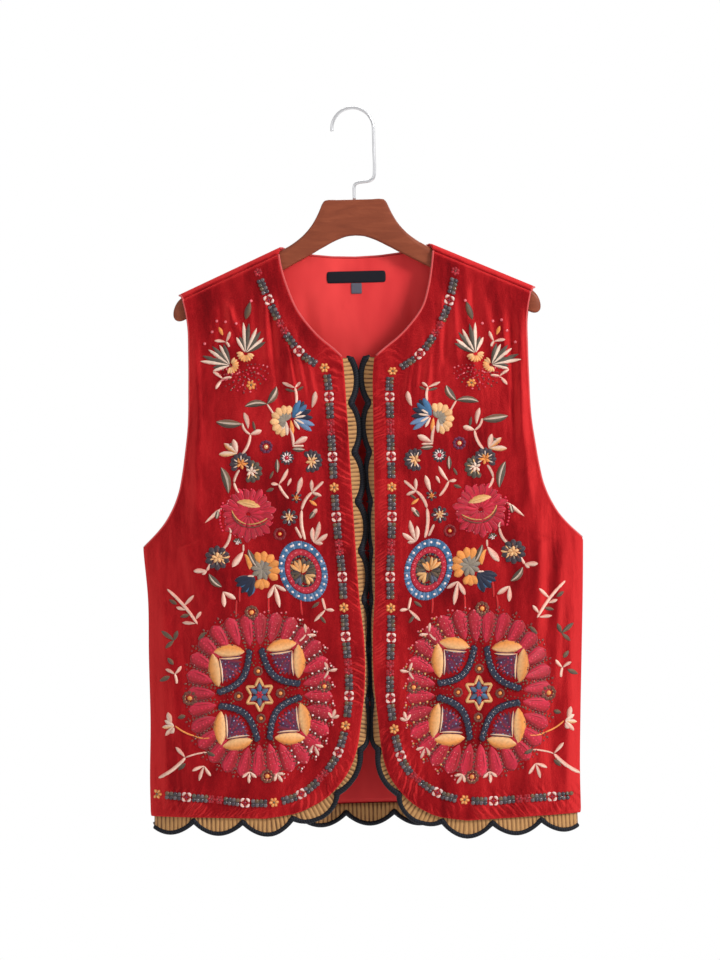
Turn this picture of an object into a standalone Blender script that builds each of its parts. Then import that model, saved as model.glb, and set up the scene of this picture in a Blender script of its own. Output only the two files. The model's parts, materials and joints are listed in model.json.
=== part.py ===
"""A folk waistcoat of velvet with scalloped trim, hanging on a wooden hanger.

Metres, +Z up, the front towards -Y. The origin is the point inside the top of the hanger's hook
that a rail carries. Heights are given as "low", the distance below that point.

The cloth is one tube, worked out by shell(q, t). q goes round it: -1 at the side seam on the -X
side, 0 at the middle, 1 at the other side seam. t is the distance from the crest of the shoulder
along the cloth, positive down the front and negative down the back. Every panel is a grid on this
tube, and its wall is the grid moved inwards along the cloth's normal.
"""
import math

import bmesh
import bpy
import numpy as np


def table(columns, rows):
    """A short table as one array for each named column."""
    return dict(zip(columns.split(), np.array(rows, float).T))


# Cloth
VELVET_WALL = 0.0020
LINING_WALL = 0.0010
TRIM_WALL = 0.0015
SEAM_GAP = 0.0003
TRIM_GAP = 0.0010
LABEL_WALL = 0.0008
# The lining stops this share of the panel inside its edges
LINING_INSET = 0.012

# Shoulder: the cloth's outer face goes over the hanger in a half round of this radius
CREST_RADIUS = 0.0096
NECK_POINT_HALF = 0.081
NECK_POINT_LOW = 0.142
SHOULDER_SLOPE = 0.442
CREST_LEVEL_HALF = 0.066
YOKE_FORWARD = 0.0120
WRAP_ROWS = 9
WRAP_STEP = 0.0040
HANG_OUT = 0.215

# Half widths and depths of the tube at each height
BODY = table("low left right front back", [
    (0.140, 0.2270, 0.2280, 0.026, 0.020),
    (0.300, 0.2270, 0.2280, 0.030, 0.022),
    (0.450, 0.2270, 0.2280, 0.032, 0.024),
    (0.500, 0.2235, 0.2265, 0.032, 0.024),
    (0.560, 0.2240, 0.2240, 0.031, 0.024),
    (0.630, 0.2240, 0.2210, 0.030, 0.024),
    (0.690, 0.2260, 0.2190, 0.029, 0.025),
    (0.730, 0.2260, 0.2190, 0.028, 0.026),
    (0.770, 0.2260, 0.2185, 0.027, 0.026),
])

# Armhole edge, from the shoulder tip to the side seam
ARMHOLE = table("low half", [
    (0.1850, 0.1835), (0.1915, 0.1800), (0.1990, 0.1780), (0.2170, 0.1750), (0.2500, 0.1745),
    (0.2800, 0.1750), (0.3270, 0.1770), (0.3500, 0.1800), (0.3730, 0.1835), (0.3930, 0.1880),
    (0.4100, 0.1950), (0.4260, 0.2050), (0.4380, 0.2160), (0.4480, 0.2270),
])
UNDERARM_LOW = 0.448

# Neck edge of each front, then its centre edge and rounded corner
NECK = table("low left right", [
    (0.142, 0.0810, 0.0810), (0.164, 0.0775, 0.0785), (0.186, 0.0710, 0.0745),
    (0.207, 0.0620, 0.0675), (0.224, 0.0500, 0.0550), (0.238, 0.0370, 0.0410),
    (0.248, 0.0250, 0.0280), (0.257, 0.0160, 0.0170),
])
CENTRE = table("low left right meet", [
    (0.257, 0.0160, 0.0165, 0.0000), (0.270, 0.0150, 0.0150, 0.0000),
    (0.311, 0.0130, 0.0140, 0.0010), (0.363, 0.0110, 0.0135, 0.0030),
    (0.414, 0.0090, 0.0130, 0.0060), (0.461, 0.0070, 0.0120, 0.0065),
    (0.503, 0.0050, 0.0110, 0.0060), (0.546, 0.0010, 0.0080, 0.0045),
    (0.590, 0.0010, 0.0080, 0.0045), (0.633, 0.0060, 0.0115, 0.0030),
    (0.662, 0.0110, 0.0145, 0.0020), (0.676, 0.0155, 0.0175, 0.0010),
    (0.690, 0.0225, 0.0235, 0.0000), (0.7035, 0.0325, 0.0335, 0.0000),
    (0.714, 0.0435, 0.0440, 0.0000), (0.7225, 0.0580, 0.0575, 0.0000),
    (0.7300, 0.0790, 0.0775, 0.0000), (0.7335, 0.1030, 0.1010, 0.0000),
])
NECK_CORNER_LOW = 0.257
HEM_LOW = 0.7290
CORNER_END_LOW = 0.7335
BACK_HEM_RISE = 0.0050
# The hem hangs a little lower on the +X side
HEM_TILT = 0.0035
HEM_TILT_FROM = 0.640
HEM_TILT_OVER = 0.090

# How a front's rows run from its outer edge to its inner edge
ROWS = table("v outer inner", [
    (0.000, 0.1925, 0.1480), (0.040, 0.2110, 0.1760), (0.090, 0.2340, 0.2050),
    (0.140, 0.2600, 0.2330), (0.190, 0.2860, 0.2570), (0.240, 0.3110, 0.2840),
    (0.340, 0.3620, 0.3430), (0.440, 0.4140, 0.4070), (0.503, 0.4480, 0.4460),
    (0.600, 0.5000, 0.5000), (0.880, 0.6510, 0.6510), (0.900, 0.6620, 0.6640),
    (0.920, 0.6720, 0.6790), (0.940, 0.6840, 0.6950), (0.955, 0.6940, 0.7075),
    (0.970, 0.7050, 0.7185), (0.985, 0.7165, 0.7280), (1.000, 0.7290, 0.7335),
])

# Top edge of the back: behind the neck, round the neck point, then along the yoke in front
BACK_TOP = table("half t", [
    (0.0000, -0.0231), (0.0250, -0.0222), (0.0450, -0.0200), (0.0600, -0.0178), (0.0680, -0.0150),
    (0.0730, -0.0105), (0.0762, -0.0055), (0.0785, 0.0000), (0.0800, 0.0060), (0.0808, 0.0120),
])

# Rows of the back below the crest, as shares of its length
BACK_ROWS = (
    0.045, 0.10, 0.17, 0.24, 0.31, 0.36, 0.40, 0.43, 0.46, 0.50, 0.56, 0.64, 0.72, 0.81, 0.90, 0.988, 1.0,
)

# Soft folds that the hanging cloth makes: a ridge from one point to another
FOLD_COLUMNS = "x_top low_top x_end low_end width height"
FRONT_FOLDS = table(FOLD_COLUMNS, [
    (0.172, 0.300, 0.160, 0.700, 0.022, 0.0042),
    (0.206, 0.470, 0.204, 0.740, 0.022, 0.0030),
    (0.108, 0.170, 0.120, 0.330, 0.018, 0.0022),
    (0.060, 0.250, 0.052, 0.690, 0.026, -0.0028),
    (-0.166, 0.230, -0.158, 0.640, 0.022, 0.0040),
    (-0.202, 0.480, -0.200, 0.740, 0.022, 0.0028),
    (-0.120, 0.180, -0.124, 0.340, 0.018, 0.0022),
    (-0.070, 0.400, -0.060, 0.740, 0.026, -0.0026),
])
BACK_FOLDS = table(FOLD_COLUMNS, [
    (0.150, 0.220, 0.135, 0.745, 0.030, 0.0050),
    (0.078, 0.300, 0.068, 0.745, 0.030, -0.0035),
    (0.008, 0.240, 0.000, 0.745, 0.032, 0.0042),
    (-0.074, 0.280, -0.066, 0.745, 0.030, -0.0035),
    (-0.148, 0.220, -0.138, 0.745, 0.030, 0.0050),
])

# Scalloped trim with a corded edge
SCALLOP = 0.0510
FIRST_CUSP = 0.0470
TRIM_AT_CUSP = 0.0020
TRIM_AT_PEAK = 0.0150
# By each front's lower corner two tongues are shorter: their numbers along the edge and widths
SHORT_TONGUES, SHORT_PEAKS = (7, 8), (0.0062, 0.0118)
TRIM_UNDER = 0.0050
TRIM_MIDDLE = VELVET_WALL + TRIM_GAP + TRIM_WALL / 2
TRIM_SIDE_INSET = 0.0014
EDGING_RADIUS = 0.0018
EDGING_SIDES = 4
TRIM_STEPS = 6
# The front trims turn in at the centre and lie flat again from here down
FLAT_FROM_LOW = 0.640
FLAT_OVER = 0.040

# Neck label and size tab, on the lining
LABEL_WIDTH, LABEL_TOP_LOW, LABEL_HEIGHT = 0.0610, 0.1670, 0.0120
TAB_WIDTH, TAB_HEIGHT = 0.0110, 0.0110

# Hanger
HANGER_HALF_THICK = 0.0058
HANGER_TOP_CLEAR = 0.0043
HANGER_TIP = 0.1900
HANGER_TIP_ROUND = 0.0110
HANGER_EDGE_ROUND = 0.0025
HANGER = table("x top bottom", [
    (0.0000, 0.0935, 0.1310), (0.0180, 0.0935, 0.1345), (0.0285, 0.0935, 0.1395),
    (0.0312, 0.0943, 0.1410), (0.0335, 0.0975, 0.1422), (0.0370, 0.1055, 0.1440),
    (0.0430, 0.1165, 0.1475), (0.0520, 0.1275, 0.1522), (0.0630, 0.1364, 0.1580),
    (0.0750, 0.1433, 0.1645), (0.0900, 0.1499, 0.1716), (0.1400, 0.1720, 0.1953),
    (0.1900, 0.1941, 0.2190),
])
WIRE_RADIUS = 0.0016
HOOK_RADIUS = 0.0215
HOOK_TOP = WIRE_RADIUS
HOOK_STEM_LOW = 0.0932
HOOK_BEND_LOW = 0.0760

COLOURS = {
    "velvet": ((0.42, 0.010, 0.014, 1.0), 0.85, 0.0),
    "satin": ((0.72, 0.055, 0.060, 1.0), 0.45, 0.0),
    "gold_thread": ((0.52, 0.29, 0.10, 1.0), 0.65, 0.0),
    "black_cord": ((0.012, 0.014, 0.022, 1.0), 0.75, 0.0),
    "label": ((0.010, 0.010, 0.014, 1.0), 0.60, 0.0),
    "wood": ((0.22, 0.055, 0.022, 1.0), 0.35, 0.0),
    "wire": ((0.75, 0.75, 0.77, 1.0), 0.22, 1.0),
}


def smooth(x, keys, values):
    """A curve through a table's points: cubic pieces whose slopes come from the neighbours."""
    slopes = np.gradient(values, keys)
    x = np.clip(x, keys[0], keys[-1])
    k = np.clip(np.searchsorted(keys, x) - 1, 0, len(keys) - 2)
    step = keys[k + 1] - keys[k]
    a = (x - keys[k]) / step
    b = 1.0 - a
    return (
        (1.0 + 2.0 * a) * b * b * values[k]
        + a * b * b * step * slopes[k]
        + a * a * (1.0 + 2.0 * b) * values[k + 1]
        - a * a * b * step * slopes[k + 1]
    )


def ease(share):
    """0 to 1 with level ends."""
    share = np.clip(share, 0.0, 1.0)
    return share * share * (3.0 - 2.0 * share)


def crest_low(half):
    """Height of the shoulder's crest at a distance from the middle."""
    outside = np.maximum(half, CREST_LEVEL_HALF) - NECK_POINT_HALF
    return NECK_POINT_LOW + SHOULDER_SLOPE * outside


def half_width(low, side):
    """Half width of the tube on the side that the sign gives."""
    left = smooth(low, BODY["low"], BODY["left"])
    right = smooth(low, BODY["low"], BODY["right"])
    return np.where(side < 0, left, right)


def drop_of(t):
    """How far below the crest the cloth is, t along it."""
    turn = np.minimum(np.abs(t) / CREST_RADIUS, math.pi / 2)
    straight = np.maximum(np.abs(t) - CREST_RADIUS * math.pi / 2, 0.0)
    return CREST_RADIUS * (1.0 - np.cos(turn)) + straight


def along_of(drop):
    """The inverse of drop_of."""
    turn = np.arccos(np.clip(1.0 - drop / CREST_RADIUS, 0.0, 1.0))
    return CREST_RADIUS * turn + np.maximum(drop - CREST_RADIUS, 0.0)


def folds(x, low, rows):
    """Sum of the ridges: each a bell across, rising and dying away along its length."""
    total = np.zeros_like(x)
    for x_top, low_top, x_end, low_end, width, height in zip(*rows.values()):
        share = (low - low_top) / (low_end - low_top)
        middle = x_top + (x_end - x_top) * share
        across = np.exp(-(((x - middle) / width) ** 2))
        total += height * across * ease(share * 3.0) * ease((1.15 - share) * 4.0)
    return total


def shell(q, t):
    """Points of the cloth's outer face."""
    q, t = np.broadcast_arrays(np.asarray(q, float), np.asarray(t, float))
    sine = np.sin(q * math.pi / 2)
    drop = drop_of(t)
    half = np.full_like(drop, BODY["left"][0])
    for _ in range(4):
        low = crest_low(half * np.abs(sine)) + drop
        half = half_width(low, q)
    x = half * sine
    low = crest_low(np.abs(x)) + drop
    front = t >= 0
    depth = np.where(
        front, smooth(low, BODY["low"], BODY["front"]), smooth(low, BODY["low"], BODY["back"])
    )
    round_side = np.sqrt(np.maximum(1.0 - np.abs(sine) ** 3, 0.0))
    ripple = np.where(front, folds(x, low, FRONT_FOLDS), folds(x, low, BACK_FOLDS))
    ripple = ripple * ease(1.0 - np.abs(sine) ** 6)
    hang = ease(np.abs(t) / HANG_OUT)
    over = CREST_RADIUS * np.sin(np.minimum(np.abs(t) / CREST_RADIUS, math.pi / 2))
    out = (1.0 - hang) * over + hang * (depth * round_side + ripple)
    return np.stack([x, np.where(front, -out, out), -low], axis=-1)


def normal(q, t):
    """Unit normals of shell(), pointing out of the garment."""
    dq, dt = 1e-4, 1e-5
    across = shell(np.clip(q + dq, -1, 1), t) - shell(np.clip(q - dq, -1, 1), t)
    along = shell(q, t + dt) - shell(q, t - dt)
    out = -np.cross(across, along)
    return out / np.linalg.norm(out, axis=-1, keepdims=True)


def layer(q, t, sink):
    """The cloth's face moved inwards by sink."""
    return shell(q, t) - np.asarray(sink)[..., None] * normal(q, t)


def q_at(x, low):
    """The q of a point x from the middle at this height."""
    return np.arcsin(np.clip(x / half_width(low, x), -1.0, 1.0)) * 2 / math.pi


def t_at(x, low):
    """The distance along the cloth from the crest down to this height."""
    return along_of(np.maximum(low - crest_low(np.abs(x)), 0.0))


def hem_shift(low, side):
    """The hem's tilt, which fades out above it."""
    return side * HEM_TILT * ease((low - HEM_TILT_FROM) / HEM_TILT_OVER)


def inner_half(low, side):
    """Distance of a front's neck edge, centre edge or rounded corner from the middle."""
    column = "left" if side < 0 else "right"
    neck = smooth(low, NECK["low"], NECK[column])
    return np.where(low < NECK_CORNER_LOW, neck, smooth(low, CENTRE["low"], CENTRE[column]))


def side_end(depth):
    """How near q comes to the side seam, so that the two panels stay a seam's gap apart."""
    return 1.0 - SEAM_GAP / 2 / (depth * math.sqrt(3.0) * math.pi / math.sqrt(8.0))


FRONT_SIDE = side_end(0.029)
BACK_SIDE = side_end(0.024)


def spread(u, start, end, widest):
    """Column places from start to end; columns bend less the further they are from the end."""
    return start + (widest - start) * u - (widest - end) * (u + u * u) / 2


def front_grid(side, u, v):
    """(q, t) of a front: u is 0 at the inner edge and 1 at the outer, v is 0 at the shoulder."""
    u, v = np.meshgrid(u, v)
    outer_low = np.interp(v, ROWS["v"], ROWS["outer"])
    inner_low = np.interp(v, ROWS["v"], ROWS["inner"])
    edge = smooth(outer_low, ARMHOLE["low"], ARMHOLE["half"])
    outer_sine = np.where(outer_low < UNDERARM_LOW, edge / half_width(outer_low, side + 0 * u), 1.0)
    outer_q = np.minimum(np.arcsin(np.minimum(outer_sine, 1.0)) * 2 / math.pi, FRONT_SIDE)
    inner_x = inner_half(inner_low, side)
    inner_q = q_at(inner_x, inner_low)
    q = spread(u, inner_q, outer_q, FRONT_SIDE)
    sine, inner_sine = np.sin(q * math.pi / 2), np.sin(inner_q * math.pi / 2)
    share = (sine - inner_sine) / (np.sin(outer_q * math.pi / 2) - inner_sine)
    low = inner_low + (outer_low - inner_low) * share
    low = low + hem_shift(low, side)
    x = half_width(low, side + 0 * u) * sine
    t = t_at(x, low)
    t[0] = YOKE_FORWARD + SEAM_GAP
    return side * q, t


def back_end(t):
    """The q of the back's armhole edge and side seam, by the distance down from the crest."""
    keys = along_of(ARMHOLE["low"] - crest_low(ARMHOLE["half"]))
    keys[0] = 0.0
    sine = smooth(np.abs(t), keys, ARMHOLE["half"]) / ARMHOLE["half"][-1]
    return np.minimum(np.arcsin(np.minimum(sine, 1.0)) * 2 / math.pi, BACK_SIDE)


def back_grid(half_u, v):
    """(q, t) of the back: half_u goes from 0 at the middle to 1, v is 0 below the wrapped rows."""
    u = np.concatenate([-half_u[:0:-1], half_u])
    q_top = spread(np.abs(u), 0.0, back_end(0.0), BACK_SIDE)
    top_half = half_width(0.19, u) * np.sin(q_top * math.pi / 2)
    top = np.interp(top_half, BACK_TOP["half"], BACK_TOP["t"])
    wrap = np.arange(WRAP_ROWS)[:, None]
    wrapped = np.minimum(top - 0.0004 * wrap, YOKE_FORWARD - WRAP_STEP * wrap)
    low = HEM_LOW - BACK_HEM_RISE * (1.0 - u * u) + hem_shift(HEM_LOW, np.sign(u) * u * u)
    end = -t_at(half_width(low, u) * np.sin(np.abs(u) * math.pi / 2), low)
    hanging = wrapped[-1] + (end - wrapped[-1]) * v[:, None]
    t = np.concatenate([wrapped, hanging])
    return np.sign(u) * spread(np.abs(u), 0.0, back_end(t), BACK_SIDE), t


def material(name):
    """The named finish, made once."""
    found = bpy.data.materials.get(name)
    if found:
        return found
    colour, rough, metal = COLOURS[name]
    made = bpy.data.materials.new(name)
    made.use_nodes = True
    made.diffuse_color = colour
    shader = made.node_tree.nodes["Principled BSDF"]
    shader.inputs["Base Color"].default_value = colour
    shader.inputs["Roughness"].default_value = rough
    shader.inputs["Metallic"].default_value = metal
    return made


def add_object(name, points, faces, finish, sharp=35.0):
    """A closed mesh object with its normals out and its round parts shaded smooth."""
    mesh = bpy.data.meshes.new(name)
    mesh.from_pydata(points.tolist(), [], faces)
    work = bmesh.new()
    work.from_mesh(mesh)
    bmesh.ops.recalc_face_normals(work, faces=work.faces)
    if work.calc_volume(signed=True) < 0:
        bmesh.ops.reverse_faces(work, faces=work.faces)
    work.to_mesh(mesh)
    work.free()
    mesh.materials.append(material(finish))
    mesh.shade_smooth()
    mesh.set_sharp_from_angle(angle=math.radians(sharp))
    obj = bpy.data.objects.new(name, mesh)
    bpy.context.scene.collection.objects.link(obj)
    return obj


def short_cuts(points):
    """Which cells of a grid are shorter from their second corner to their fourth."""
    one_way = np.linalg.norm(points[1:, 1:] - points[:-1, :-1], axis=-1)
    other_way = np.linalg.norm(points[1:, :-1] - points[:-1, 1:], axis=-1)
    return other_way < one_way


def wall(name, outer, inner, finish, cuts=None):
    """A closed wall between two grids of points, whose cells are cut along the same corners."""
    rows, columns = outer.shape[:2]
    count = rows * columns
    points = np.concatenate([outer.reshape(-1, 3), inner.reshape(-1, 3)])
    corner = np.arange(count).reshape(rows, columns)
    a, b, c, d = corner[:-1, :-1], corner[:-1, 1:], corner[1:, 1:], corner[1:, :-1]
    cuts = short_cuts(outer)[..., None] if cuts is None else cuts[..., None]
    first = np.where(cuts, np.stack([a, b, d], -1), np.stack([a, b, c], -1))
    second = np.where(cuts, np.stack([b, c, d], -1), np.stack([a, c, d], -1))
    cells = np.concatenate([first.reshape(-1, 3), second.reshape(-1, 3)])
    rim = np.concatenate([corner[0, :], corner[1:, -1], corner[-1, -2::-1], corner[-2:0:-1, 0]])
    after = np.roll(rim, -1)
    edge = np.stack([rim, rim + count, after + count, after], axis=-1)
    faces = cells.tolist() + (cells[:, ::-1] + count).tolist() + edge.tolist()
    return add_object(name, points, faces, finish)


def tube(name, rings, finish):
    """A closed tube through rings of points, with flat ends."""
    count, sides = rings.shape[:2]
    corner = np.arange(count * sides).reshape(count, sides)
    after = np.roll(corner, -1, axis=1)
    quads = np.stack([corner[:-1], after[:-1], after[1:], corner[1:]], axis=-1).reshape(-1, 4)
    faces = quads.tolist() + [corner[0, ::-1].tolist(), corner[-1].tolist()]
    return add_object(name, rings.reshape(-1, 3), faces, finish)


def make_front(side, name, columns=19, rows=22):
    """One velvet front, from the shoulder seam to the hem."""
    u = np.linspace(0.0, 1.0, columns)
    v = np.union1d(np.linspace(0.0, 1.0, rows), ROWS["v"][-6:])
    v = np.union1d(v, [0.44, 0.475, 0.503, 0.535])
    q, t = front_grid(side, u, v)
    wall(name, shell(q, t), layer(q, t, VELVET_WALL), "velvet")


def back_columns():
    """Column places of half the back: even ones, and those that its neck edge needs."""
    u = np.linspace(0.0, 1.0, 400)
    half = BODY["left"][0] * np.sin(spread(u, 0.0, back_end(0.0), BACK_SIDE) * math.pi / 2)
    neck = np.interp(BACK_TOP["half"], half, u)
    return np.concatenate([neck, np.linspace(neck[-1], 1.0 - LINING_INSET, 8)[1:], [1.0]])


def make_back():
    """The velvet back with its forward yoke, and the lining that follows it inside."""
    q, t = back_grid(back_columns(), np.array(BACK_ROWS))
    face = shell(q, t)
    cuts = short_cuts(face)
    wall("back", face, layer(q, t, VELVET_WALL), "velvet", cuts)
    q, t, cuts = q[1:-1, 1:-1], t[1:-1, 1:-1], cuts[1:-1, 1:-1]
    inside = VELVET_WALL + SEAM_GAP
    outer, inner = layer(q, t, inside), layer(q, t, inside + LINING_WALL)
    wall("lining_back", outer, inner, "satin", cuts)


def edge_path(side, spacing=0.002):
    """(x, low) along a front's centre edge, corner and hem, with even steps, as distances too."""
    low = np.concatenate([np.arange(NECK_CORNER_LOW, 0.70, spacing), np.linspace(0.70, CORNER_END_LOW, 60)])
    x = inner_half(low, side)
    hem_x = np.linspace(x[-1], half_width(HEM_LOW, side), 60)[1:]
    share = (hem_x - x[-1]) / (hem_x[-1] - x[-1])
    x = np.concatenate([x, hem_x])
    low = np.concatenate([low, CORNER_END_LOW + (HEM_LOW - CORNER_END_LOW) * share])
    low = low + hem_shift(low, side)
    gone = np.concatenate([[0.0], np.cumsum(np.hypot(np.diff(x), np.diff(low)))])
    return side * x, low, gone


def scallop_width(distance, front):
    """Width of the trim: round tongues between narrow cusps; two by a front's corner are shorter."""
    turns = (distance - FIRST_CUSP) / SCALLOP
    tongue = np.floor(turns + 1e-6)
    peak = np.where(tongue == SHORT_TONGUES[0], SHORT_PEAKS[0], TRIM_AT_PEAK)
    peak = np.where(tongue == SHORT_TONGUES[1], SHORT_PEAKS[1], peak) if front else TRIM_AT_PEAK
    return TRIM_AT_CUSP + (peak - TRIM_AT_CUSP) * np.abs(np.sin(math.pi * turns)) ** 0.8


def trim_stations(length):
    """Even stations that hit every cusp and peak."""
    step = SCALLOP / TRIM_STEPS
    inside = np.arange(FIRST_CUSP - step * math.floor(FIRST_CUSP / step), length, step)
    keep = inside[(inside > step * 0.4) & (inside < length - step * 0.4)]
    return np.concatenate([[0.0], keep, [length]])


def beside(distance, width, gap):
    """The line that keeps this distance from the trim's edge, with its corners mitred."""
    step = np.stack([np.diff(distance), np.diff(width)], axis=-1)
    step /= np.linalg.norm(step, axis=-1, keepdims=True)
    away = np.stack([-step[:, 1], step[:, 0]], axis=-1)
    before, after = np.vstack([away[:1], away]), np.vstack([away, away[-1:]])
    both = (before + after) / (1.0 + (before * after).sum(axis=-1, keepdims=True))
    both[[0, -1], 0] = 0.0
    both[[0, -1], 1] = 1.0 / away[[0, -1], 1]
    return distance + gap * both[:, 0], width + gap * both[:, 1]


def lip_angle(side, low):
    """How far a front's trim turns inwards, so that it stops at the line where the fronts meet."""
    edge = smooth(low, CENTRE["low"], CENTRE["left" if side < 0 else "right"])
    meet = np.interp(low, CENTRE["low"], CENTRE["meet"])
    room = edge - side * meet - EDGING_RADIUS - SEAM_GAP
    reach = TRIM_AT_PEAK + SEAM_GAP + EDGING_RADIUS
    turned = np.arccos(np.clip(room / reach, 0.05, 1.0))
    return turned * (1.0 - ease((low - FLAT_FROM_LOW) / FLAT_OVER))


def trim_points(side, distance, reach, sink):
    """Points on a front's trim: reach is how far out from the velvet's edge, along the cloth."""
    x, low, gone = edge_path(side)
    x_edge, low_edge = np.interp(distance, gone, x), np.interp(distance, gone, low)
    step = 0.004
    to_x = np.interp(distance + step, gone, x) - np.interp(distance - step, gone, x)
    to_low = np.interp(distance + step, gone, low) - np.interp(distance - step, gone, low)
    size = np.hypot(to_x, to_low)
    out_x, out_low = -side * to_low / size, side * to_x / size
    turn = lip_angle(side, low_edge) * np.abs(out_x)
    # The wall turns with the lip, and half as far on the fold line itself
    lean = turn * np.clip(np.sign(reach) / 2 + 0.5, 0.0, 1.0)
    thick = (sink - TRIM_MIDDLE) / np.cos(np.where(reach == 0, lean, 0.0))
    x_at = x_edge + out_x * (reach * np.where(reach > 0, np.cos(turn), 1.0) - thick * np.sin(lean))
    low_at = low_edge + out_low * reach
    points = layer(q_at(x_at, low_at), t_at(x_at, low_at), TRIM_MIDDLE + thick * np.cos(lean))
    points[..., 1] += np.maximum(reach, 0.0) * np.sin(turn)
    return points


def back_trim_points(distance, reach, sink):
    """Points on the back's trim, reach below the velvet's hem."""
    x = distance - half_width(HEM_LOW, -1.0) + TRIM_SIDE_INSET
    share = x / half_width(HEM_LOW, x)
    low = HEM_LOW - BACK_HEM_RISE * (1.0 - share * share) + reach
    low = low + hem_shift(HEM_LOW, np.sign(share) * share * share)
    return layer(q_at(x, low), -t_at(x, low), sink)


def make_trim(name, length, place):
    """A ribbed scalloped band and the cord on its edge; place gives the points on the cloth."""
    distance = trim_stations(length)
    width = scallop_width(distance, name != "back")
    rows = np.stack([0 * width - TRIM_UNDER, 0 * width, width])
    outer, inner = (place(distance, rows, TRIM_MIDDLE + half) for half in (-TRIM_WALL / 2, TRIM_WALL / 2))
    wall(f"trim_{name}", outer, inner, "gold_thread")
    along, reach = beside(distance, width, SEAM_GAP + EDGING_RADIUS)
    centre = place(along, reach, TRIM_MIDDLE)
    facing = place(along, reach, TRIM_MIDDLE - 0.001) - centre
    forward = np.gradient(centre, axis=0)
    forward /= np.linalg.norm(forward, axis=-1, keepdims=True)
    across = np.cross(forward, facing)
    across /= np.linalg.norm(across, axis=-1, keepdims=True)
    angle = np.arange(EDGING_SIDES) * 2 * math.pi / EDGING_SIDES
    aside = np.cos(angle)[None, :, None] * across[:, None]
    above = np.sin(angle)[None, :, None] * np.cross(across, forward)[:, None]
    tube(f"edging_{name}", centre[:, None] + EDGING_RADIUS * (aside + above), "black_cord")


def make_trims():
    """The trim and its edging on both fronts and on the back's hem."""
    for side, name in ((-1, "left"), (1, "right")):
        length = edge_path(side)[2][-1] - TRIM_SIDE_INSET

        def place(distance, reach, sink, side=side):
            return trim_points(side, distance, reach, sink)

        make_trim(name, length, place)
    whole = half_width(HEM_LOW, np.array([-1.0, 1.0])).sum() - 2 * TRIM_SIDE_INSET
    make_trim("back", whole, back_trim_points)


def make_label(name, width, top_low, height, columns):
    """A flat woven label on the inside of the back."""
    x, low = np.meshgrid(np.linspace(-width / 2, width / 2, columns), [top_low, top_low + height])
    q, t = q_at(x, low), -t_at(x, low)
    top = VELVET_WALL + 2 * SEAM_GAP + LINING_WALL
    wall(name, layer(q, t, top), layer(q, t, top + LABEL_WALL), "label")


def make_hanger():
    """The wooden body: a section at each place across it, with a half-round top on the arms."""
    end = HANGER_TIP - HANGER_TIP_ROUND
    tip = end + HANGER_TIP_ROUND * np.array([0.35, 0.65, 0.85, 0.96])
    half = np.union1d(np.union1d(HANGER["x"], np.linspace(0.0, end, 10)), tip)
    x = np.concatenate([-half[:0:-1], half])
    top = np.interp(np.abs(x), HANGER["x"], HANGER["top"])
    top = np.where(np.abs(x) > 0.075, crest_low(np.abs(x)) + HANGER_TOP_CLEAR, top)
    bottom = np.interp(np.abs(x), HANGER["x"], HANGER["bottom"])
    past = np.clip((np.abs(x) - end) / HANGER_TIP_ROUND, 0.0, 0.97)
    shrink = np.sqrt(1.0 - past * past)
    middle = top * 0.45 + bottom * 0.55
    top, bottom = middle + (top - middle) * shrink, middle + (bottom - middle) * shrink
    arm = ease((np.abs(x) - 0.040) / 0.035)
    over = (HANGER_EDGE_ROUND + (HANGER_HALF_THICK - HANGER_EDGE_ROUND) * arm) * shrink
    turn = np.radians([0.0, 25.0, 45.0, 67.0, 90.0])
    thick = HANGER_HALF_THICK * np.sqrt(shrink)
    under = HANGER_EDGE_ROUND * shrink
    y_top = thick[:, None] - over[:, None] * (1.0 - np.sin(turn))
    z_top = top[:, None] + over[:, None] * (1.0 - np.cos(turn))
    y_low = thick[:, None] - under[:, None] * (1.0 - np.cos(turn[::2]))
    z_low = bottom[:, None] - under[:, None] * (1.0 - np.sin(turn[::2]))
    y_half = np.maximum(np.concatenate([y_top, y_low], axis=1), 0.0004)
    z_half = np.concatenate([z_top, z_low], axis=1)
    ring_y = np.concatenate([y_half, -y_half[:, ::-1]], axis=1)
    ring_z = np.concatenate([z_half, z_half[:, ::-1]], axis=1)
    rings = np.stack([np.broadcast_to(x[:, None], ring_y.shape), ring_y, -ring_z], axis=-1)
    tube("hanger_body", rings, "wood")


def hook_line():
    """Centre line of the wire: stem, cranked shoulder, upright and round bay."""
    arc = np.radians(np.linspace(0.0, 186.0, 17))
    bay = np.stack([HOOK_RADIUS * np.cos(arc), HOOK_TOP - HOOK_RADIUS * (1.0 - np.sin(arc))], axis=-1)
    bay[-1, 0] -= 0.0012
    crank = np.array([
        (0.0000, -HOOK_STEM_LOW), (0.0000, -0.0840), (0.0002, -0.0800), (0.0016, -0.0774),
        (0.0044, -0.0762), (0.0110, -0.0752), (0.0165, -0.0743), (0.0196, -0.0724),
        (0.0211, -0.0690), (0.0215, -0.0640), (0.0215, -0.0420),
    ])
    return np.concatenate([crank, bay])


def make_hook(sides=8):
    """The bent wire hook, standing on the hanger's flat top."""
    line = hook_line()
    along = np.gradient(line, axis=0)
    along /= np.linalg.norm(along, axis=-1, keepdims=True)
    along[0] = (0.0, 1.0)
    angle = np.arange(sides) * 2 * math.pi / sides
    across = np.stack([-along[:, 1], along[:, 0]], axis=-1)
    ring = line[:, None] + WIRE_RADIUS * np.cos(angle)[None, :, None] * across[:, None]
    depth = np.broadcast_to(WIRE_RADIUS * np.sin(angle), ring.shape[:2])
    tube("hanger_hook", np.stack([ring[..., 0], depth, ring[..., 1]], axis=-1), "wire")


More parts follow.
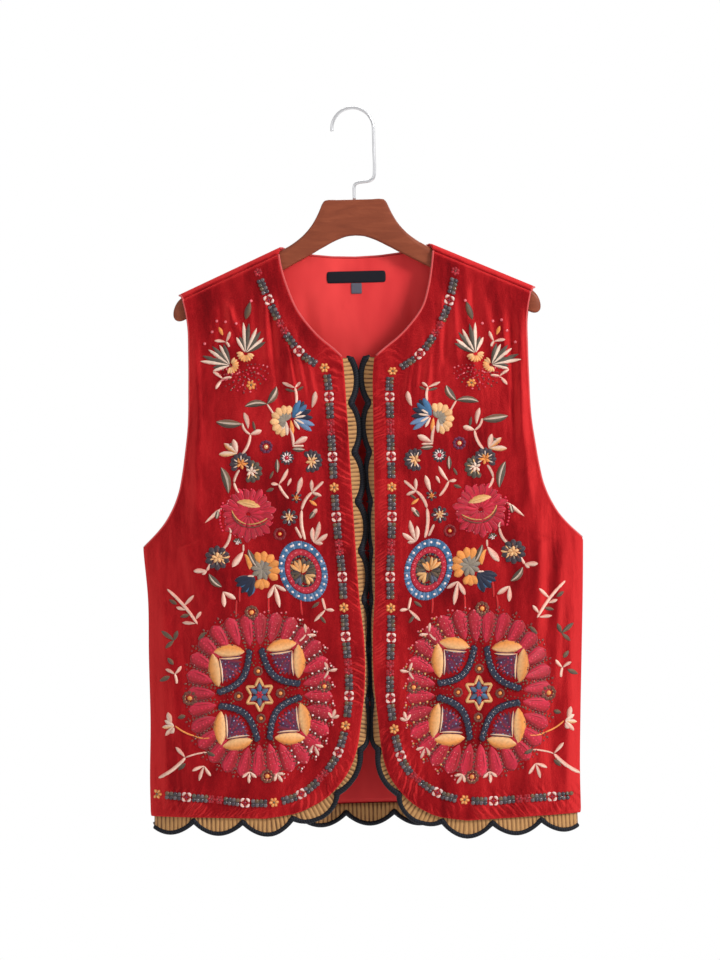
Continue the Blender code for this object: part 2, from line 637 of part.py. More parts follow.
def main():
    for obj in list(bpy.data.objects):
        bpy.data.objects.remove(obj)
    make_front(-1, "front_left")
    make_front(1, "front_right")
    make_back()
    make_trims()
    make_label("neck_label", LABEL_WIDTH, LABEL_TOP_LOW, LABEL_HEIGHT, 6)
    make_label("size_tab", TAB_WIDTH, LABEL_TOP_LOW + LABEL_HEIGHT + SEAM_GAP, TAB_HEIGHT, 3)
    make_hanger()
    make_hook()


main()
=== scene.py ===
# %% [markdown]
# # An embroidered velvet vest on a hanger
# The solid parts of the vest are already made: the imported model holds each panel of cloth, the
# trims, the hanger and its hook as plain closed walls. This lesson dresses them: finer cloth with
# pile and creases, ribbed braid, cord, and the embroidery, stitch shape by stitch shape.
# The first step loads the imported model. Nothing in it is moved.

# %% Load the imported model
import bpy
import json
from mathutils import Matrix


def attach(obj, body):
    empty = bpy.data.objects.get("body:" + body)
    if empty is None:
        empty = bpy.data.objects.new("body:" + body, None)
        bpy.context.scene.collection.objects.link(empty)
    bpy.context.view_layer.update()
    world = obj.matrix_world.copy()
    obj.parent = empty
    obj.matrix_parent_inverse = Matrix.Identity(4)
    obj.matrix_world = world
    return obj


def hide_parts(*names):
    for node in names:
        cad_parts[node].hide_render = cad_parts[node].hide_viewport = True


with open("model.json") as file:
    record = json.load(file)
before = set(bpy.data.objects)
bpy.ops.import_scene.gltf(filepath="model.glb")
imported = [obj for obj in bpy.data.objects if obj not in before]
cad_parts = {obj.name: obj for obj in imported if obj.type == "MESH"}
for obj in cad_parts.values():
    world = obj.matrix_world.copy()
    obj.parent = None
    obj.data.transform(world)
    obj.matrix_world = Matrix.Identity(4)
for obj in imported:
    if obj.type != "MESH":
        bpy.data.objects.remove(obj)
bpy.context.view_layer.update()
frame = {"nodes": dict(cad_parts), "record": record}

import json
import math

import bpy
import numpy as np
from mathutils import Quaternion, Vector

print("nodes:", sorted(frame["nodes"]))

# %% [markdown]
# The camera comes first, because every later look at the work goes through it. The photograph was
# taken straight on from a few steps away, and the vest hangs a little turned in it, by 1.4 degrees.
# Turning the camera about its line of sight gives the same picture and leaves the vest upright. The
# lens is chosen so that a pixel covers 1.03 mm of the vest's front.

# %% Camera
MM = 0.001
PIXEL = 1.03 * MM
PICTURE_HEIGHT = 960
SENSOR = 36.0
CAMERA_DISTANCE = 6.0
FRONT_STANDS_OUT = 0.025
CAMERA_AIM = Vector((-0.0012, 0.0, -0.3835))
PHOTO_TURN = math.radians(1.4)
camera_data = bpy.data.cameras.new("camera")
camera_data.sensor_width = SENSOR
camera_data.lens = SENSOR * (CAMERA_DISTANCE - FRONT_STANDS_OUT) / (PICTURE_HEIGHT * PIXEL)
camera = bpy.data.objects.new("camera", camera_data)
bpy.context.scene.collection.objects.link(camera)
camera.location = CAMERA_AIM - Vector((0.0, CAMERA_DISTANCE, 0.0))
level = Quaternion((1.0, 0.0, 0.0), math.pi / 2)
camera.rotation_mode = "QUATERNION"
camera.rotation_quaternion = Quaternion((0.0, 1.0, 0.0), PHOTO_TURN) @ level
bpy.context.scene.camera = camera
print("lens:", round(camera_data.lens, 1), "mm")

# %% [markdown]
# A studio of three soft lamps round a pale surrounding. The brighter lamp stands to the right, as in
# the photograph, where the right side of the vest is a little lighter. The surrounding is white for
# the camera and dimmer as a light, so that folds keep their shade. Low down it is painted a shade
# greyer, a painted shade of the backdrop that also dims the light from below.

# %% Lights and floor
def add_lamp(name, place, aim, size, power):
    """A square area lamp at place, turned to shine at aim."""
    data = bpy.data.lights.new(name, "AREA")
    data.size = size
    data.energy = power
    lamp = bpy.data.objects.new(name, data)
    lamp.location = place
    lamp.rotation_mode = "QUATERNION"
    lamp.rotation_quaternion = (Vector(aim) - Vector(place)).to_track_quat("-Z", "Y")
    bpy.context.scene.collection.objects.link(lamp)


MIDDLE = (0.0, 0.0, -0.4)
add_lamp("key", (2.4, -1.7, 1.1), MIDDLE, 0.8, 80.0)
add_lamp("fill", (-2.2, -2.2, 0.5), MIDDLE, 1.4, 8.0)
add_lamp("behind", (0.4, 2.6, 1.3), MIDDLE, 1.6, 40.0)

world = bpy.data.worlds.new("white surrounding")
world.use_nodes = True
bpy.context.scene.world = world
sky = world.node_tree.nodes["Background"]
ray = world.node_tree.nodes.new("ShaderNodeLightPath")
dim = world.node_tree.nodes.new("ShaderNodeMapRange")
dim.inputs["To Min"].default_value = 0.52
dim.inputs["To Max"].default_value = 1.0
world.node_tree.links.new(ray.outputs["Is Camera Ray"], dim.inputs["Value"])
world.node_tree.links.new(dim.outputs["Result"], sky.inputs["Strength"])
# Painted shade: the surrounding turns greyer a little below the horizon, for the camera and as a light.
direction = world.node_tree.nodes.new("ShaderNodeTexCoord")
split = world.node_tree.nodes.new("ShaderNodeSeparateXYZ")
world.node_tree.links.new(direction.outputs["Generated"], split.inputs["Vector"])
painted_shade_low = world.node_tree.nodes.new("ShaderNodeMapRange")
for socket, value in (("From Min", -0.19), ("From Max", -0.08), ("To Min", 0.93), ("To Max", 1.0)):
    painted_shade_low.inputs[socket].default_value = value
world.node_tree.links.new(split.outputs["Z"], painted_shade_low.inputs["Value"])
world.node_tree.links.new(painted_shade_low.outputs["Result"], sky.inputs["Color"])
bpy.context.scene.view_settings.view_transform = "Standard"

FLOOR_LOW, FLOOR_HALF = 1.60, 2.2
floor_corners = [(x * FLOOR_HALF, y * FLOOR_HALF, -FLOOR_LOW)
                 for x, y in ((-1, -1), (1, -1), (1, 1), (-1, 1))]
floor_mesh = bpy.data.meshes.new("floor")
floor_mesh.from_pydata(floor_corners, [], [(0, 1, 2, 3)])
floor = bpy.data.objects.new("floor", floor_mesh)
bpy.context.scene.collection.objects.link(floor)

# %% [markdown]
# Materials are built from a few nodes each. A colour that varies goes through a chain of texture and
# colour ramp into Base Color; everything that is the same all over is typed into the shader's own
# sockets. This helper makes the shader and hands back the tree for the rest.

# %% A helper for materials
def new_material(name, colour, **sockets):
    """A material with a Principled shader, its colour and any sockets given by name."""
    made = bpy.data.materials.new(name)
    made.use_nodes = True
    shader = made.node_tree.nodes["Principled BSDF"]
    shader.inputs["Base Color"].default_value = (*colour, 1.0)
    for socket, value in sockets.items():
        shader.inputs[socket.replace("_", " ")].default_value = value
    return made, made.node_tree, shader


def add_node(tree, kind, links=(), **values):
    """A node of a kind; links are (its input, the output that feeds it), values its inputs."""
    node = tree.nodes.new(kind)
    for socket, value in values.items():
        node.inputs[socket.replace("_", " ")].default_value = value
    for socket, source in links:
        tree.links.new(source, node.inputs[socket])
    return node


def colour_steps(tree, factor, *steps):
    """A colour ramp: steps are (place from 0 to 1, colour)."""
    ramp = tree.nodes.new("ShaderNodeValToRGB")
    while len(ramp.color_ramp.elements) < len(steps):
        ramp.color_ramp.elements.new(0.5)
    for element, (place, colour) in zip(ramp.color_ramp.elements, steps):
        element.position = place
        element.color = (*colour, 1.0)
    tree.links.new(factor, ramp.inputs["Fac"])
    return ramp.outputs["Color"]


def object_place(tree, scale=(1.0, 1.0, 1.0)):
    """Object coordinates, stretched by scale."""
    where = tree.nodes.new("ShaderNodeTexCoord")
    return add_node(tree, "ShaderNodeMapping", [("Vector", where.outputs["Object"])],
                    Scale=scale).outputs["Vector"]


def noise(tree, where, scale, detail=3.0, rough=0.55, distort=0.0):
    """Cloudy grey values, scale of them to a metre."""
    return add_node(tree, "ShaderNodeTexNoise", [("Vector", where)], Scale=scale, Detail=detail,
                    Roughness=rough, Distortion=distort).outputs["Fac"]


def bump(tree, shader, height, strength, distance, under=None):
    """Sends a height to the shader's normal, on top of the bump called under if there is one."""
    node = add_node(tree, "ShaderNodeBump", [("Height", height)], Strength=strength, Distance=distance)
    if under:
        tree.links.new(under.outputs["Normal"], node.inputs["Normal"])
    tree.links.new(node.outputs["Normal"], shader.inputs["Normal"])
    return node


def combine(tree, operation, one, other):
    """One number from two, by a Math node."""
    node = add_node(tree, "ShaderNodeMath", [(0, one), (1, other)])
    node.operation = operation
    return node.outputs[0]


# %% [markdown]
# Velvet looks dark where the pile points at you and light where it leans away, and here that sheen
# is painted into the colour. A Layer Weight node gives that lean from the camera, creases and crushed
# pile included, and cloudy patches drawn out downwards are added to it. Their sum picks the red from
# a ramp, whose lighter reds are painted sheen. On the fronts the close stitching of the border
# gathers the cloth beside it: a wave along the border, kept near it by a ramp across it.

# %% Velvet, with painted sheen
def along_wave(tree, pitch, direction="X", slant=0.0, distort=0.5):
    """Stripes across a piece whose U counts millimetres along it, one stripe to each pitch."""
    uv = tree.nodes.new("ShaderNodeUVMap")
    uv.uv_map = "UVMap"
    turned = add_node(tree, "ShaderNodeMapping", [("Vector", uv.outputs["UV"])],
                      Rotation=(0.0, 0.0, slant))
    node = add_node(tree, "ShaderNodeTexWave", [("Vector", turned.outputs["Vector"])],
                    Scale=math.pi / 10.0 / pitch, Distortion=distort, Detail=1.0)
    node.bands_direction = direction
    return node.outputs["Fac"]


def make_velvet_with_painted_sheen(name, gathered):
    """Crushed red velvet with painted sheen in its colour; gathered adds the wrinkles that follow the border.
    """
    made, tree, shader = new_material(
        name, (0.36, 0.006, 0.010), Roughness=0.95, Sheen_Weight=0.5, Sheen_Roughness=0.4,
        Sheen_Tint=(1.0, 0.12, 0.12, 1.0), Specular_IOR_Level=0.08)
    brushed = object_place(tree, (1.0, 1.0, 0.36))
    patches = noise(tree, brushed, 30.0, 5.0, 0.66, 0.35)
    crush = noise(tree, brushed, 95.0, 4.0, 0.62)
    pile = noise(tree, object_place(tree), 1500.0, 1.0)
    hang = bump(tree, shader, noise(tree, object_place(tree, (1.0, 1.0, 0.17)), 58.0, 2.0), 0.7, 0.0040)
    relief = bump(tree, shader, combine(tree, "ADD", crush, pile), 0.5, 0.0010, hang)
    if gathered:
        uv = tree.nodes.new("ShaderNodeUVMap")
        uv.uv_map = "UVMap"
        split = add_node(tree, "ShaderNodeSeparateXYZ", [("Vector", uv.outputs["UV"])])
        across = add_node(tree, "ShaderNodeMapRange", [("Value", split.outputs["Y"])],
                          From_Min=-20.0, From_Max=30.0)
        below_neck = add_node(tree, "ShaderNodeMapRange", [("Value", split.outputs["X"])],
                              From_Min=112.0, From_Max=136.0)
        near = colour_steps(tree, across.outputs["Result"], (0.16, (0.0, 0.0, 0.0)), (0.42, (0.5, 0.5, 0.5)),
                            (0.56, (1.0, 1.0, 1.0)), (0.80, (0.7, 0.7, 0.7)), (1.0, (0.2, 0.2, 0.2)))
        place = combine(tree, "MULTIPLY", near, below_neck.outputs["Result"])
        uneven = colour_steps(tree, noise(tree, object_place(tree), 34.0, 2.0), (0.40, (0.0, 0.0, 0.0)),
                              (0.62, (1.0, 1.0, 1.0)))
        wrinkles = along_wave(tree, 6.6, "X", 0.55, 3.2)
        drawn = combine(tree, "MULTIPLY", combine(tree, "MULTIPLY", wrinkles, place), uneven)
        relief = bump(tree, shader, drawn, 1.0, 0.0020, relief)
    # Painted sheen: the lean from the camera lightens the red towards grazing angles.
    painted_sheen = add_node(tree, "ShaderNodeLayerWeight", [("Normal", relief.outputs["Normal"])], Blend=0.82)
    painted_sheen_and_patches = combine(tree, "ADD", painted_sheen.outputs["Facing"], patches)
    red = colour_steps(tree, painted_sheen_and_patches, (0.34, (0.105, 0.002, 0.004)), (0.52, (0.235, 0.004, 0.007)),
                       (0.70, (0.39, 0.008, 0.012)), (0.98, (0.66, 0.028, 0.030)))
    tree.links.new(red, shader.inputs["Base Color"])
    return made


# Both velvets carry painted sheen in their colour.
velvet = make_velvet_with_painted_sheen("red velvet", False)
gathered_velvet = make_velvet_with_painted_sheen("red velvet, gathered", True)

# %% [markdown]
# The lining is a plain coral-red cloth with a soft lustre. The braid is tan thread in fine ribs
# square to its edge; its UV map counts millimetres along the braid, so a wave texture on U draws
# them, as a bump and as painted shade in the colour, darker in the grooves between the ribs. The
# corded edge is black thread wound round a core: again a wave along U, a bump and painted shade
# between the windings. The piping that binds the neck and the armholes is a paler red.

# %% Lining, braid and cord
satin, tree, shader = new_material(
    "coral lining", (0.78, 0.045, 0.045), Roughness=0.6, Sheen_Weight=0.15, Specular_IOR_Level=0.2)
drift = noise(tree, object_place(tree, (1.0, 1.0, 0.5)), 14.0, 3.0, 0.5, 0.4)
coral = colour_steps(tree, drift, (0.3, (0.68, 0.026, 0.030)), (0.7, (0.92, 0.062, 0.060)))
tree.links.new(coral, shader.inputs["Base Color"])
wrinkled = bump(tree, shader, noise(tree, object_place(tree, (1.0, 1.0, 0.4)), 24.0, 2.0), 0.5, 0.006)
bump(tree, shader, noise(tree, object_place(tree), 900.0, 2.0), 0.12, 0.0003, wrinkled)

braid, tree, shader = new_material(
    "ribbed tan braid", (0.50, 0.26, 0.085), Roughness=0.65, Sheen_Weight=0.15, Specular_IOR_Level=0.3)
ribs = along_wave(tree, 4.4)
worn = noise(tree, object_place(tree), 70.0, 3.0)
# The ribs also paint the grooves darker: painted shade between the ribs, beside their bump.
tan_with_painted_groove_shade = colour_steps(tree, combine(tree, "ADD", ribs, worn), (0.38, (0.115, 0.044, 0.016)),
                   (0.66, (0.33, 0.150, 0.048)), (1.0, (0.56, 0.290, 0.105)))
tree.links.new(tan_with_painted_groove_shade, shader.inputs["Base Color"])
strands = bump(tree, shader, along_wave(tree, 0.9, "Y"), 0.35, 0.0003)
bump(tree, shader, ribs, 0.8, 0.0009, strands)

black_cord, tree, shader = new_material(
    "black cord", (0.006, 0.007, 0.013), Roughness=0.6, Sheen_Weight=0.05, Specular_IOR_Level=0.22)
wound = along_wave(tree, 1.3, "DIAGONAL")
# Painted shade: the wave that makes the windings' bump also darkens the grooves between them.
black_with_painted_winding_shade = colour_steps(tree, wound, (0.2, (0.002, 0.002, 0.004)), (0.8, (0.011, 0.013, 0.022)))
tree.links.new(black_with_painted_winding_shade, shader.inputs["Base Color"])
bump(tree, shader, wound, 0.7, 0.0004)

piping_red = new_material(
    "piping", (0.66, 0.075, 0.075), Roughness=0.6, Sheen_Weight=0.4, Specular_IOR_Level=0.25)[0]

# %% [markdown]
# The hanger is stained wood under varnish: long grain drawn by a noise that is stretched along the
# arms, and a clear coat. The hook is plated wire. The label and the tab are bare tapes, black and
# grey, of one weave, and the weave's darker lines between the threads are painted shade.

# %% Wood, wire and tape
wood, tree, shader = new_material(
    "varnished wood", (0.24, 0.050, 0.020), Roughness=0.5, Coat_Weight=0.12, Coat_Roughness=0.3,
    Specular_IOR_Level=0.25)
grain = noise(tree, object_place(tree, (0.16, 1.0, 1.0)), 150.0, 5.0, 0.6, 0.9)
brown = colour_steps(tree, grain, (0.30, (0.215, 0.045, 0.018)), (0.52, (0.260, 0.057, 0.023)),
                     (0.72, (0.310, 0.074, 0.031)))
tree.links.new(brown, shader.inputs["Base Color"])
bump(tree, shader, grain, 0.12, 0.0004)

wire, tree, shader = new_material("plated wire", (0.86, 0.86, 0.88), Metallic=0.9, Roughness=0.28)
scratch = noise(tree, object_place(tree), 900.0, 2.0)
bump(tree, shader, scratch, 0.05, 0.0001)


def make_tape(name, colour, dark, light, gloss):
    """Woven tape: a fine wave between two shades, in the bump and in the colour, the darker one painted shade
    between the threads.
    """
    made, tree, shader = new_material(
        name, colour, Roughness=0.7, Sheen_Weight=0.05, Specular_IOR_Level=gloss)
    weave = add_node(tree, "ShaderNodeTexWave", [("Vector", object_place(tree))], Scale=420.0)
    # Painted shade: the weave's wave darkens the colour between the threads, as it dents the bump.
    threads = colour_steps(tree, weave.outputs["Fac"], (0.3, dark), (0.8, light))
    tree.links.new(threads, shader.inputs["Base Color"])
    bump(tree, shader, weave.outputs["Fac"], 0.4, 0.0002)
    return made


tape = make_tape("black tape", (0.006, 0.006, 0.010), (0.005, 0.005, 0.009), (0.018, 0.018, 0.026), 0.15)
grey_tape = make_tape("grey tape", (0.10, 0.10, 0.13), (0.07, 0.07, 0.10), (0.16, 0.16, 0.20), 0.2)

FINISHES = {"velvet": velvet, "satin": satin, "gold_thread": braid, "black_cord": black_cord,
            "label": tape, "wood": wood, "wire": wire}
for entry in frame["record"]["subparts"]:
    mesh = frame["nodes"][entry["node"]].data
    mesh.materials.clear()
    mesh.materials.append(FINISHES[entry["material_slot"]])

# %% [markdown]
# Now the form. The cloth is one tube, worked out by shell(q, t): q goes round it from -1 to 1, and
# t is the distance along the cloth from the crest of the shoulder, down the front if positive. It
# is the same rule that shaped the solid panels, so finer cloth lies exactly where they are.

# %% The tables that give the cloth its shape
def table(columns, rows):
    """A short table as one array for each named column."""
    return dict(zip(columns.split(), np.array(rows, float).T))


def distances(points):
    """How far along a line each of its points is: the sum of the steps before it."""
    steps = np.linalg.norm(np.diff(points, axis=0), axis=-1)
    return np.concatenate([[0.0], np.cumsum(steps)])


VELVET_WALL = 2.0 * MM
LINING_WALL = 1.0 * MM
TRIM_WALL = 1.5 * MM
SEAM_GAP = 0.3 * MM
TRIM_GAP = 1.0 * MM
CREST_RADIUS = 9.6 * MM
NECK_POINT_HALF, NECK_POINT_LOW = 0.081, 0.142
SHOULDER_SLOPE = 0.442
CREST_LEVEL_HALF = 0.066
YOKE_FORWARD = 12.0 * MM
HANG_OUT = 0.215
UNDERARM_LOW = 0.448
NECK_CORNER_LOW = 0.257
HEM_LOW, CORNER_END_LOW = 0.7290, 0.7335
BACK_HEM_RISE = 5.0 * MM
HEM_TILT, HEM_TILT_FROM, HEM_TILT_OVER = 3.5 * MM, 0.640, 0.090

BODY = table("low left right front back", [
    (0.140, 0.2270, 0.2280, 0.026, 0.020), (0.300, 0.2270, 0.2280, 0.030, 0.022),
    (0.450, 0.2270, 0.2280, 0.032, 0.024), (0.500, 0.2235, 0.2265, 0.032, 0.024),
    (0.560, 0.2240, 0.2240, 0.031, 0.024), (0.630, 0.2240, 0.2210, 0.030, 0.024),
    (0.690, 0.2260, 0.2190, 0.029, 0.025), (0.730, 0.2260, 0.2190, 0.028, 0.026),
    (0.770, 0.2260, 0.2185, 0.027, 0.026),
])
ARMHOLE = table("low half", [
    (0.1850, 0.1835), (0.1915, 0.1800), (0.1990, 0.1780), (0.2170, 0.1750), (0.2500, 0.1745),
    (0.2800, 0.1750), (0.3270, 0.1770), (0.3500, 0.1800), (0.3730, 0.1835), (0.3930, 0.1880),
    (0.4100, 0.1950), (0.4260, 0.2050), (0.4380, 0.2160), (0.4480, 0.2270),
])
NECK = table("low left right", [
    (0.142, 0.0810, 0.0810), (0.164, 0.0775, 0.0785), (0.186, 0.0710, 0.0745),
    (0.207, 0.0620, 0.0675), (0.224, 0.0500, 0.0550), (0.238, 0.0370, 0.0410),
    (0.248, 0.0250, 0.0280), (0.257, 0.0160, 0.0170),
])
CENTRE = table("low left right meet", [
    (0.257, 0.0160, 0.0165, 0.0000), (0.270, 0.0150, 0.0150, 0.0000),
    (0.311, 0.0130, 0.0140, 0.0010), (0.363, 0.0110, 0.0135, 0.0030),
    (0.414, 0.0090, 0.0130, 0.0060), (0.461, 0.0070, 0.0120, 0.0065),
    (0.503, 0.0050, 0.0110, 0.0060), (0.546, 0.0010, 0.0080, 0.0045),
    (0.590, 0.0010, 0.0080, 0.0045), (0.633, 0.0060, 0.0115, 0.0030),
    (0.662, 0.0110, 0.0145, 0.0020), (0.676, 0.0155, 0.0175, 0.0010),
    (0.690, 0.0225, 0.0235, 0.0000), (0.7035, 0.0325, 0.0335, 0.0000),
    (0.714, 0.0435, 0.0440, 0.0000), (0.7225, 0.0580, 0.0575, 0.0000),
    (0.7300, 0.0790, 0.0775, 0.0000), (0.7335, 0.1030, 0.1010, 0.0000),
])
ROWS = table("v outer inner", [
    (0.000, 0.1925, 0.1480), (0.040, 0.2110, 0.1760), (0.090, 0.2340, 0.2050),
    (0.140, 0.2600, 0.2330), (0.190, 0.2860, 0.2570), (0.240, 0.3110, 0.2840),
    (0.340, 0.3620, 0.3430), (0.440, 0.4140, 0.4070), (0.503, 0.4480, 0.4460),
    (0.600, 0.5000, 0.5000), (0.880, 0.6510, 0.6510), (0.900, 0.6620, 0.6640),
    (0.920, 0.6720, 0.6790), (0.940, 0.6840, 0.6950), (0.955, 0.6940, 0.7075),
    (0.970, 0.7050, 0.7185), (0.985, 0.7165, 0.7280), (1.000, 0.7290, 0.7335),
])
BACK_TOP = table("half t", [
    (0.0000, -0.0231), (0.0250, -0.0222), (0.0450, -0.0200), (0.0600, -0.0178), (0.0680, -0.0150),
    (0.0730, -0.0105), (0.0762, -0.0055), (0.0785, 0.0000), (0.0800, 0.0060), (0.0808, 0.0120),
])
print("tables for the cloth:", len(BODY["low"]), "heights")

# %% [markdown]
# Creases are what makes cloth look hung. Each one is a soft ridge or trough from one point to
# another, with a width and a height, listed one by one. The wide ones are in the solids too. The
# fine ones, which only the render shows, fan out over the chest, lie beside the right armhole and
# mark the back. FINE_SHARE raises them all, so that the whole set is made stronger or softer together.

# %% Folds and creases
FOLD_COLUMNS = "x_top low_top x_end low_end width height"
FINE_SHARE = 1.8
FRONT_FOLDS = table(FOLD_COLUMNS, [
    (0.172, 0.300, 0.160, 0.700, 0.022, 0.0042), (0.206, 0.470, 0.204, 0.740, 0.022, 0.0030),
    (0.108, 0.170, 0.120, 0.330, 0.018, 0.0022), (0.060, 0.250, 0.052, 0.690, 0.026, -0.0028),
    (-0.166, 0.230, -0.158, 0.640, 0.022, 0.0040), (-0.202, 0.480, -0.200, 0.740, 0.022, 0.0028),
    (-0.120, 0.180, -0.124, 0.340, 0.018, 0.0022), (-0.070, 0.400, -0.060, 0.740, 0.026, -0.0026),
])
BACK_FOLDS = table(FOLD_COLUMNS, [
    (0.150, 0.220, 0.135, 0.745, 0.030, 0.0050), (0.078, 0.300, 0.068, 0.745, 0.030, -0.0035),
    (0.008, 0.240, 0.000, 0.745, 0.032, 0.0042), (-0.074, 0.280, -0.066, 0.745, 0.030, -0.0035),
    (-0.148, 0.220, -0.138, 0.745, 0.030, 0.0050),
])
FRONT_CREASES = table(FOLD_COLUMNS, [
    (-0.086, 0.186, -0.078, 0.262, 0.0030, 0.0013), (-0.078, 0.200, -0.066, 0.300, 0.0034, 0.0016),
    (-0.070, 0.214, -0.056, 0.292, 0.0028, 0.0013), (-0.060, 0.228, -0.046, 0.296, 0.0030, 0.0012),
    (-0.096, 0.180, -0.094, 0.258, 0.0036, 0.0012), (-0.110, 0.176, -0.112, 0.236, 0.0040, 0.0011),
    (-0.128, 0.184, -0.134, 0.244, 0.0046, 0.0012), (-0.146, 0.192, -0.150, 0.260, 0.0044, 0.0010),
    (-0.086, 0.262, -0.090, 0.330, 0.0050, 0.0010), (-0.168, 0.300, -0.172, 0.420, 0.0060, 0.0014),
    (-0.190, 0.420, -0.168, 0.500, 0.0070, 0.0014), (-0.206, 0.500, -0.196, 0.640, 0.0080, 0.0014),
    (0.088, 0.186, 0.082, 0.268, 0.0032, 0.0014), (0.079, 0.202, 0.068, 0.306, 0.0034, 0.0016),
    (0.070, 0.216, 0.058, 0.290, 0.0028, 0.0013), (0.060, 0.230, 0.048, 0.300, 0.0030, 0.0012),
    (0.100, 0.180, 0.100, 0.262, 0.0040, 0.0014), (0.114, 0.182, 0.118, 0.272, 0.0040, 0.0015),
    (0.130, 0.188, 0.138, 0.262, 0.0046, 0.0013), (0.148, 0.196, 0.156, 0.300, 0.0048, 0.0013),
    (0.166, 0.260, 0.172, 0.400, 0.0060, 0.0016), (0.186, 0.400, 0.178, 0.545, 0.0075, 0.0022),
    (0.206, 0.440, 0.194, 0.600, 0.0080, 0.0022), (0.217, 0.470, 0.208, 0.690, 0.0070, 0.0016),
    (0.196, 0.520, 0.186, 0.720, 0.0090, -0.0016), (0.168, 0.560, 0.160, 0.700, 0.0080, 0.0012),
    (0.168, 0.192, 0.166, 0.345, 0.0050, 0.0018), (0.157, 0.205, 0.158, 0.330, 0.0044, -0.0012),
    (0.122, 0.176, 0.112, 0.250, 0.0036, -0.0011), (0.093, 0.200, 0.088, 0.262, 0.0026, -0.0010),
    (-0.091, 0.200, -0.084, 0.292, 0.0026, -0.0011), (-0.074, 0.222, -0.064, 0.284, 0.0022, -0.0010),
    (-0.168, 0.215, -0.166, 0.330, 0.0046, 0.0012), (-0.140, 0.190, -0.120, 0.232, 0.0040, 0.0011),
    (-0.212, 0.470, -0.208, 0.700, 0.0070, 0.0012), (-0.182, 0.640, -0.180, 0.735, 0.0090, 0.0012),
    (0.150, 0.640, 0.148, 0.735, 0.0090, -0.0012), (0.110, 0.650, 0.114, 0.735, 0.0080, 0.0011),
])
BACK_CREASES = table(FOLD_COLUMNS, [
    (0.120, 0.170, 0.104, 0.300, 0.0070, 0.0012), (0.150, 0.190, 0.142, 0.360, 0.0080, -0.0013),
    (0.060, 0.165, 0.050, 0.330, 0.0090, 0.0012), (-0.056, 0.165, -0.044, 0.310, 0.0090, 0.0012),
    (-0.118, 0.172, -0.100, 0.320, 0.0070, 0.0013), (-0.152, 0.190, -0.146, 0.350, 0.0080, -0.0012),
    (0.196, 0.430, 0.150, 0.540, 0.0120, 0.0011), (-0.196, 0.430, -0.156, 0.560, 0.0090, 0.0018),
    (0.030, 0.400, 0.036, 0.700, 0.0120, 0.0014), (-0.104, 0.440, -0.100, 0.720, 0.0120, 0.0015),
    (0.112, 0.470, 0.106, 0.735, 0.0120, 0.0014), (-0.190, 0.560, -0.186, 0.735, 0.0100, 0.0015),
    (0.188, 0.540, 0.184, 0.735, 0.0100, 0.0015),
])
print("creases:", len(FRONT_CREASES["width"]) + len(BACK_CREASES["width"]))

# %% [markdown]
# The rule itself, as whole arrays: every line below works on all points of a grid at once. A point
# of the tube has a half width at its height, a depth that rounds off at the side seams, and near
# the shoulder it goes over into a half round that lies on the hanger.

# %% The cloth as a function of two parameters
def smooth(x, keys, values):
    """A curve through a table's points: cubic pieces whose slopes come from the neighbours."""
    slopes = np.gradient(values, keys)
    x = np.clip(x, keys[0], keys[-1])
    k = np.clip(np.searchsorted(keys, x) - 1, 0, len(keys) - 2)
    step = keys[k + 1] - keys[k]
    a = (x - keys[k]) / step
    b = 1.0 - a
    return ((1.0 + 2.0 * a) * b * b * values[k] + a * b * b * step * slopes[k]
            + a * a * (1.0 + 2.0 * b) * values[k + 1] - a * a * b * step * slopes[k + 1])


def ease(share):
    """0 to 1 with level ends."""
    share = np.clip(share, 0.0, 1.0)
    return share * share * (3.0 - 2.0 * share)


def crest_low(half):
    """Height of the shoulder's crest: level at the neck, then a straight slope."""
    return NECK_POINT_LOW + SHOULDER_SLOPE * (np.maximum(half, CREST_LEVEL_HALF) - NECK_POINT_HALF)


def half_width(low, side):
    """Half width of the tube on the side that the sign gives."""
    left, right = smooth(low, BODY["low"], BODY["left"]), smooth(low, BODY["low"], BODY["right"])
    return np.where(side < 0, left, right)


def drop_of(t):
    """How far below the crest the cloth is, t along it: a quarter round, then straight down."""
    turn = np.minimum(np.abs(t) / CREST_RADIUS, math.pi / 2)
    straight = np.maximum(np.abs(t) - CREST_RADIUS * math.pi / 2, 0.0)
    return CREST_RADIUS * (1.0 - np.cos(turn)) + straight


def along_of(drop):
    """The inverse of drop_of."""
    turn = np.arccos(np.clip(1.0 - drop / CREST_RADIUS, 0.0, 1.0))
    return CREST_RADIUS * turn + np.maximum(drop - CREST_RADIUS, 0.0)


def folds(x, low, rows):
    """Sum of the ridges: each a bell across, rising and dying away along its length."""
    total = np.zeros_like(x)
    for x_top, low_top, x_end, low_end, width, height in zip(*rows.values()):
        share = (low - low_top) / (low_end - low_top)
        across = np.exp(-(((x - x_top - (x_end - x_top) * share) / width) ** 2))
        total += height * across * ease(share * 3.0) * ease((1.15 - share) * 4.0)
    return total


def inner_half(low, side):
    """Distance of a front's neck edge, centre edge or rounded corner from the middle."""
    column = "left" if side < 0 else "right"
    neck = smooth(low, NECK["low"], NECK[column])
    return np.where(low < NECK_CORNER_LOW, neck, smooth(low, CENTRE["low"], CENTRE[column]))


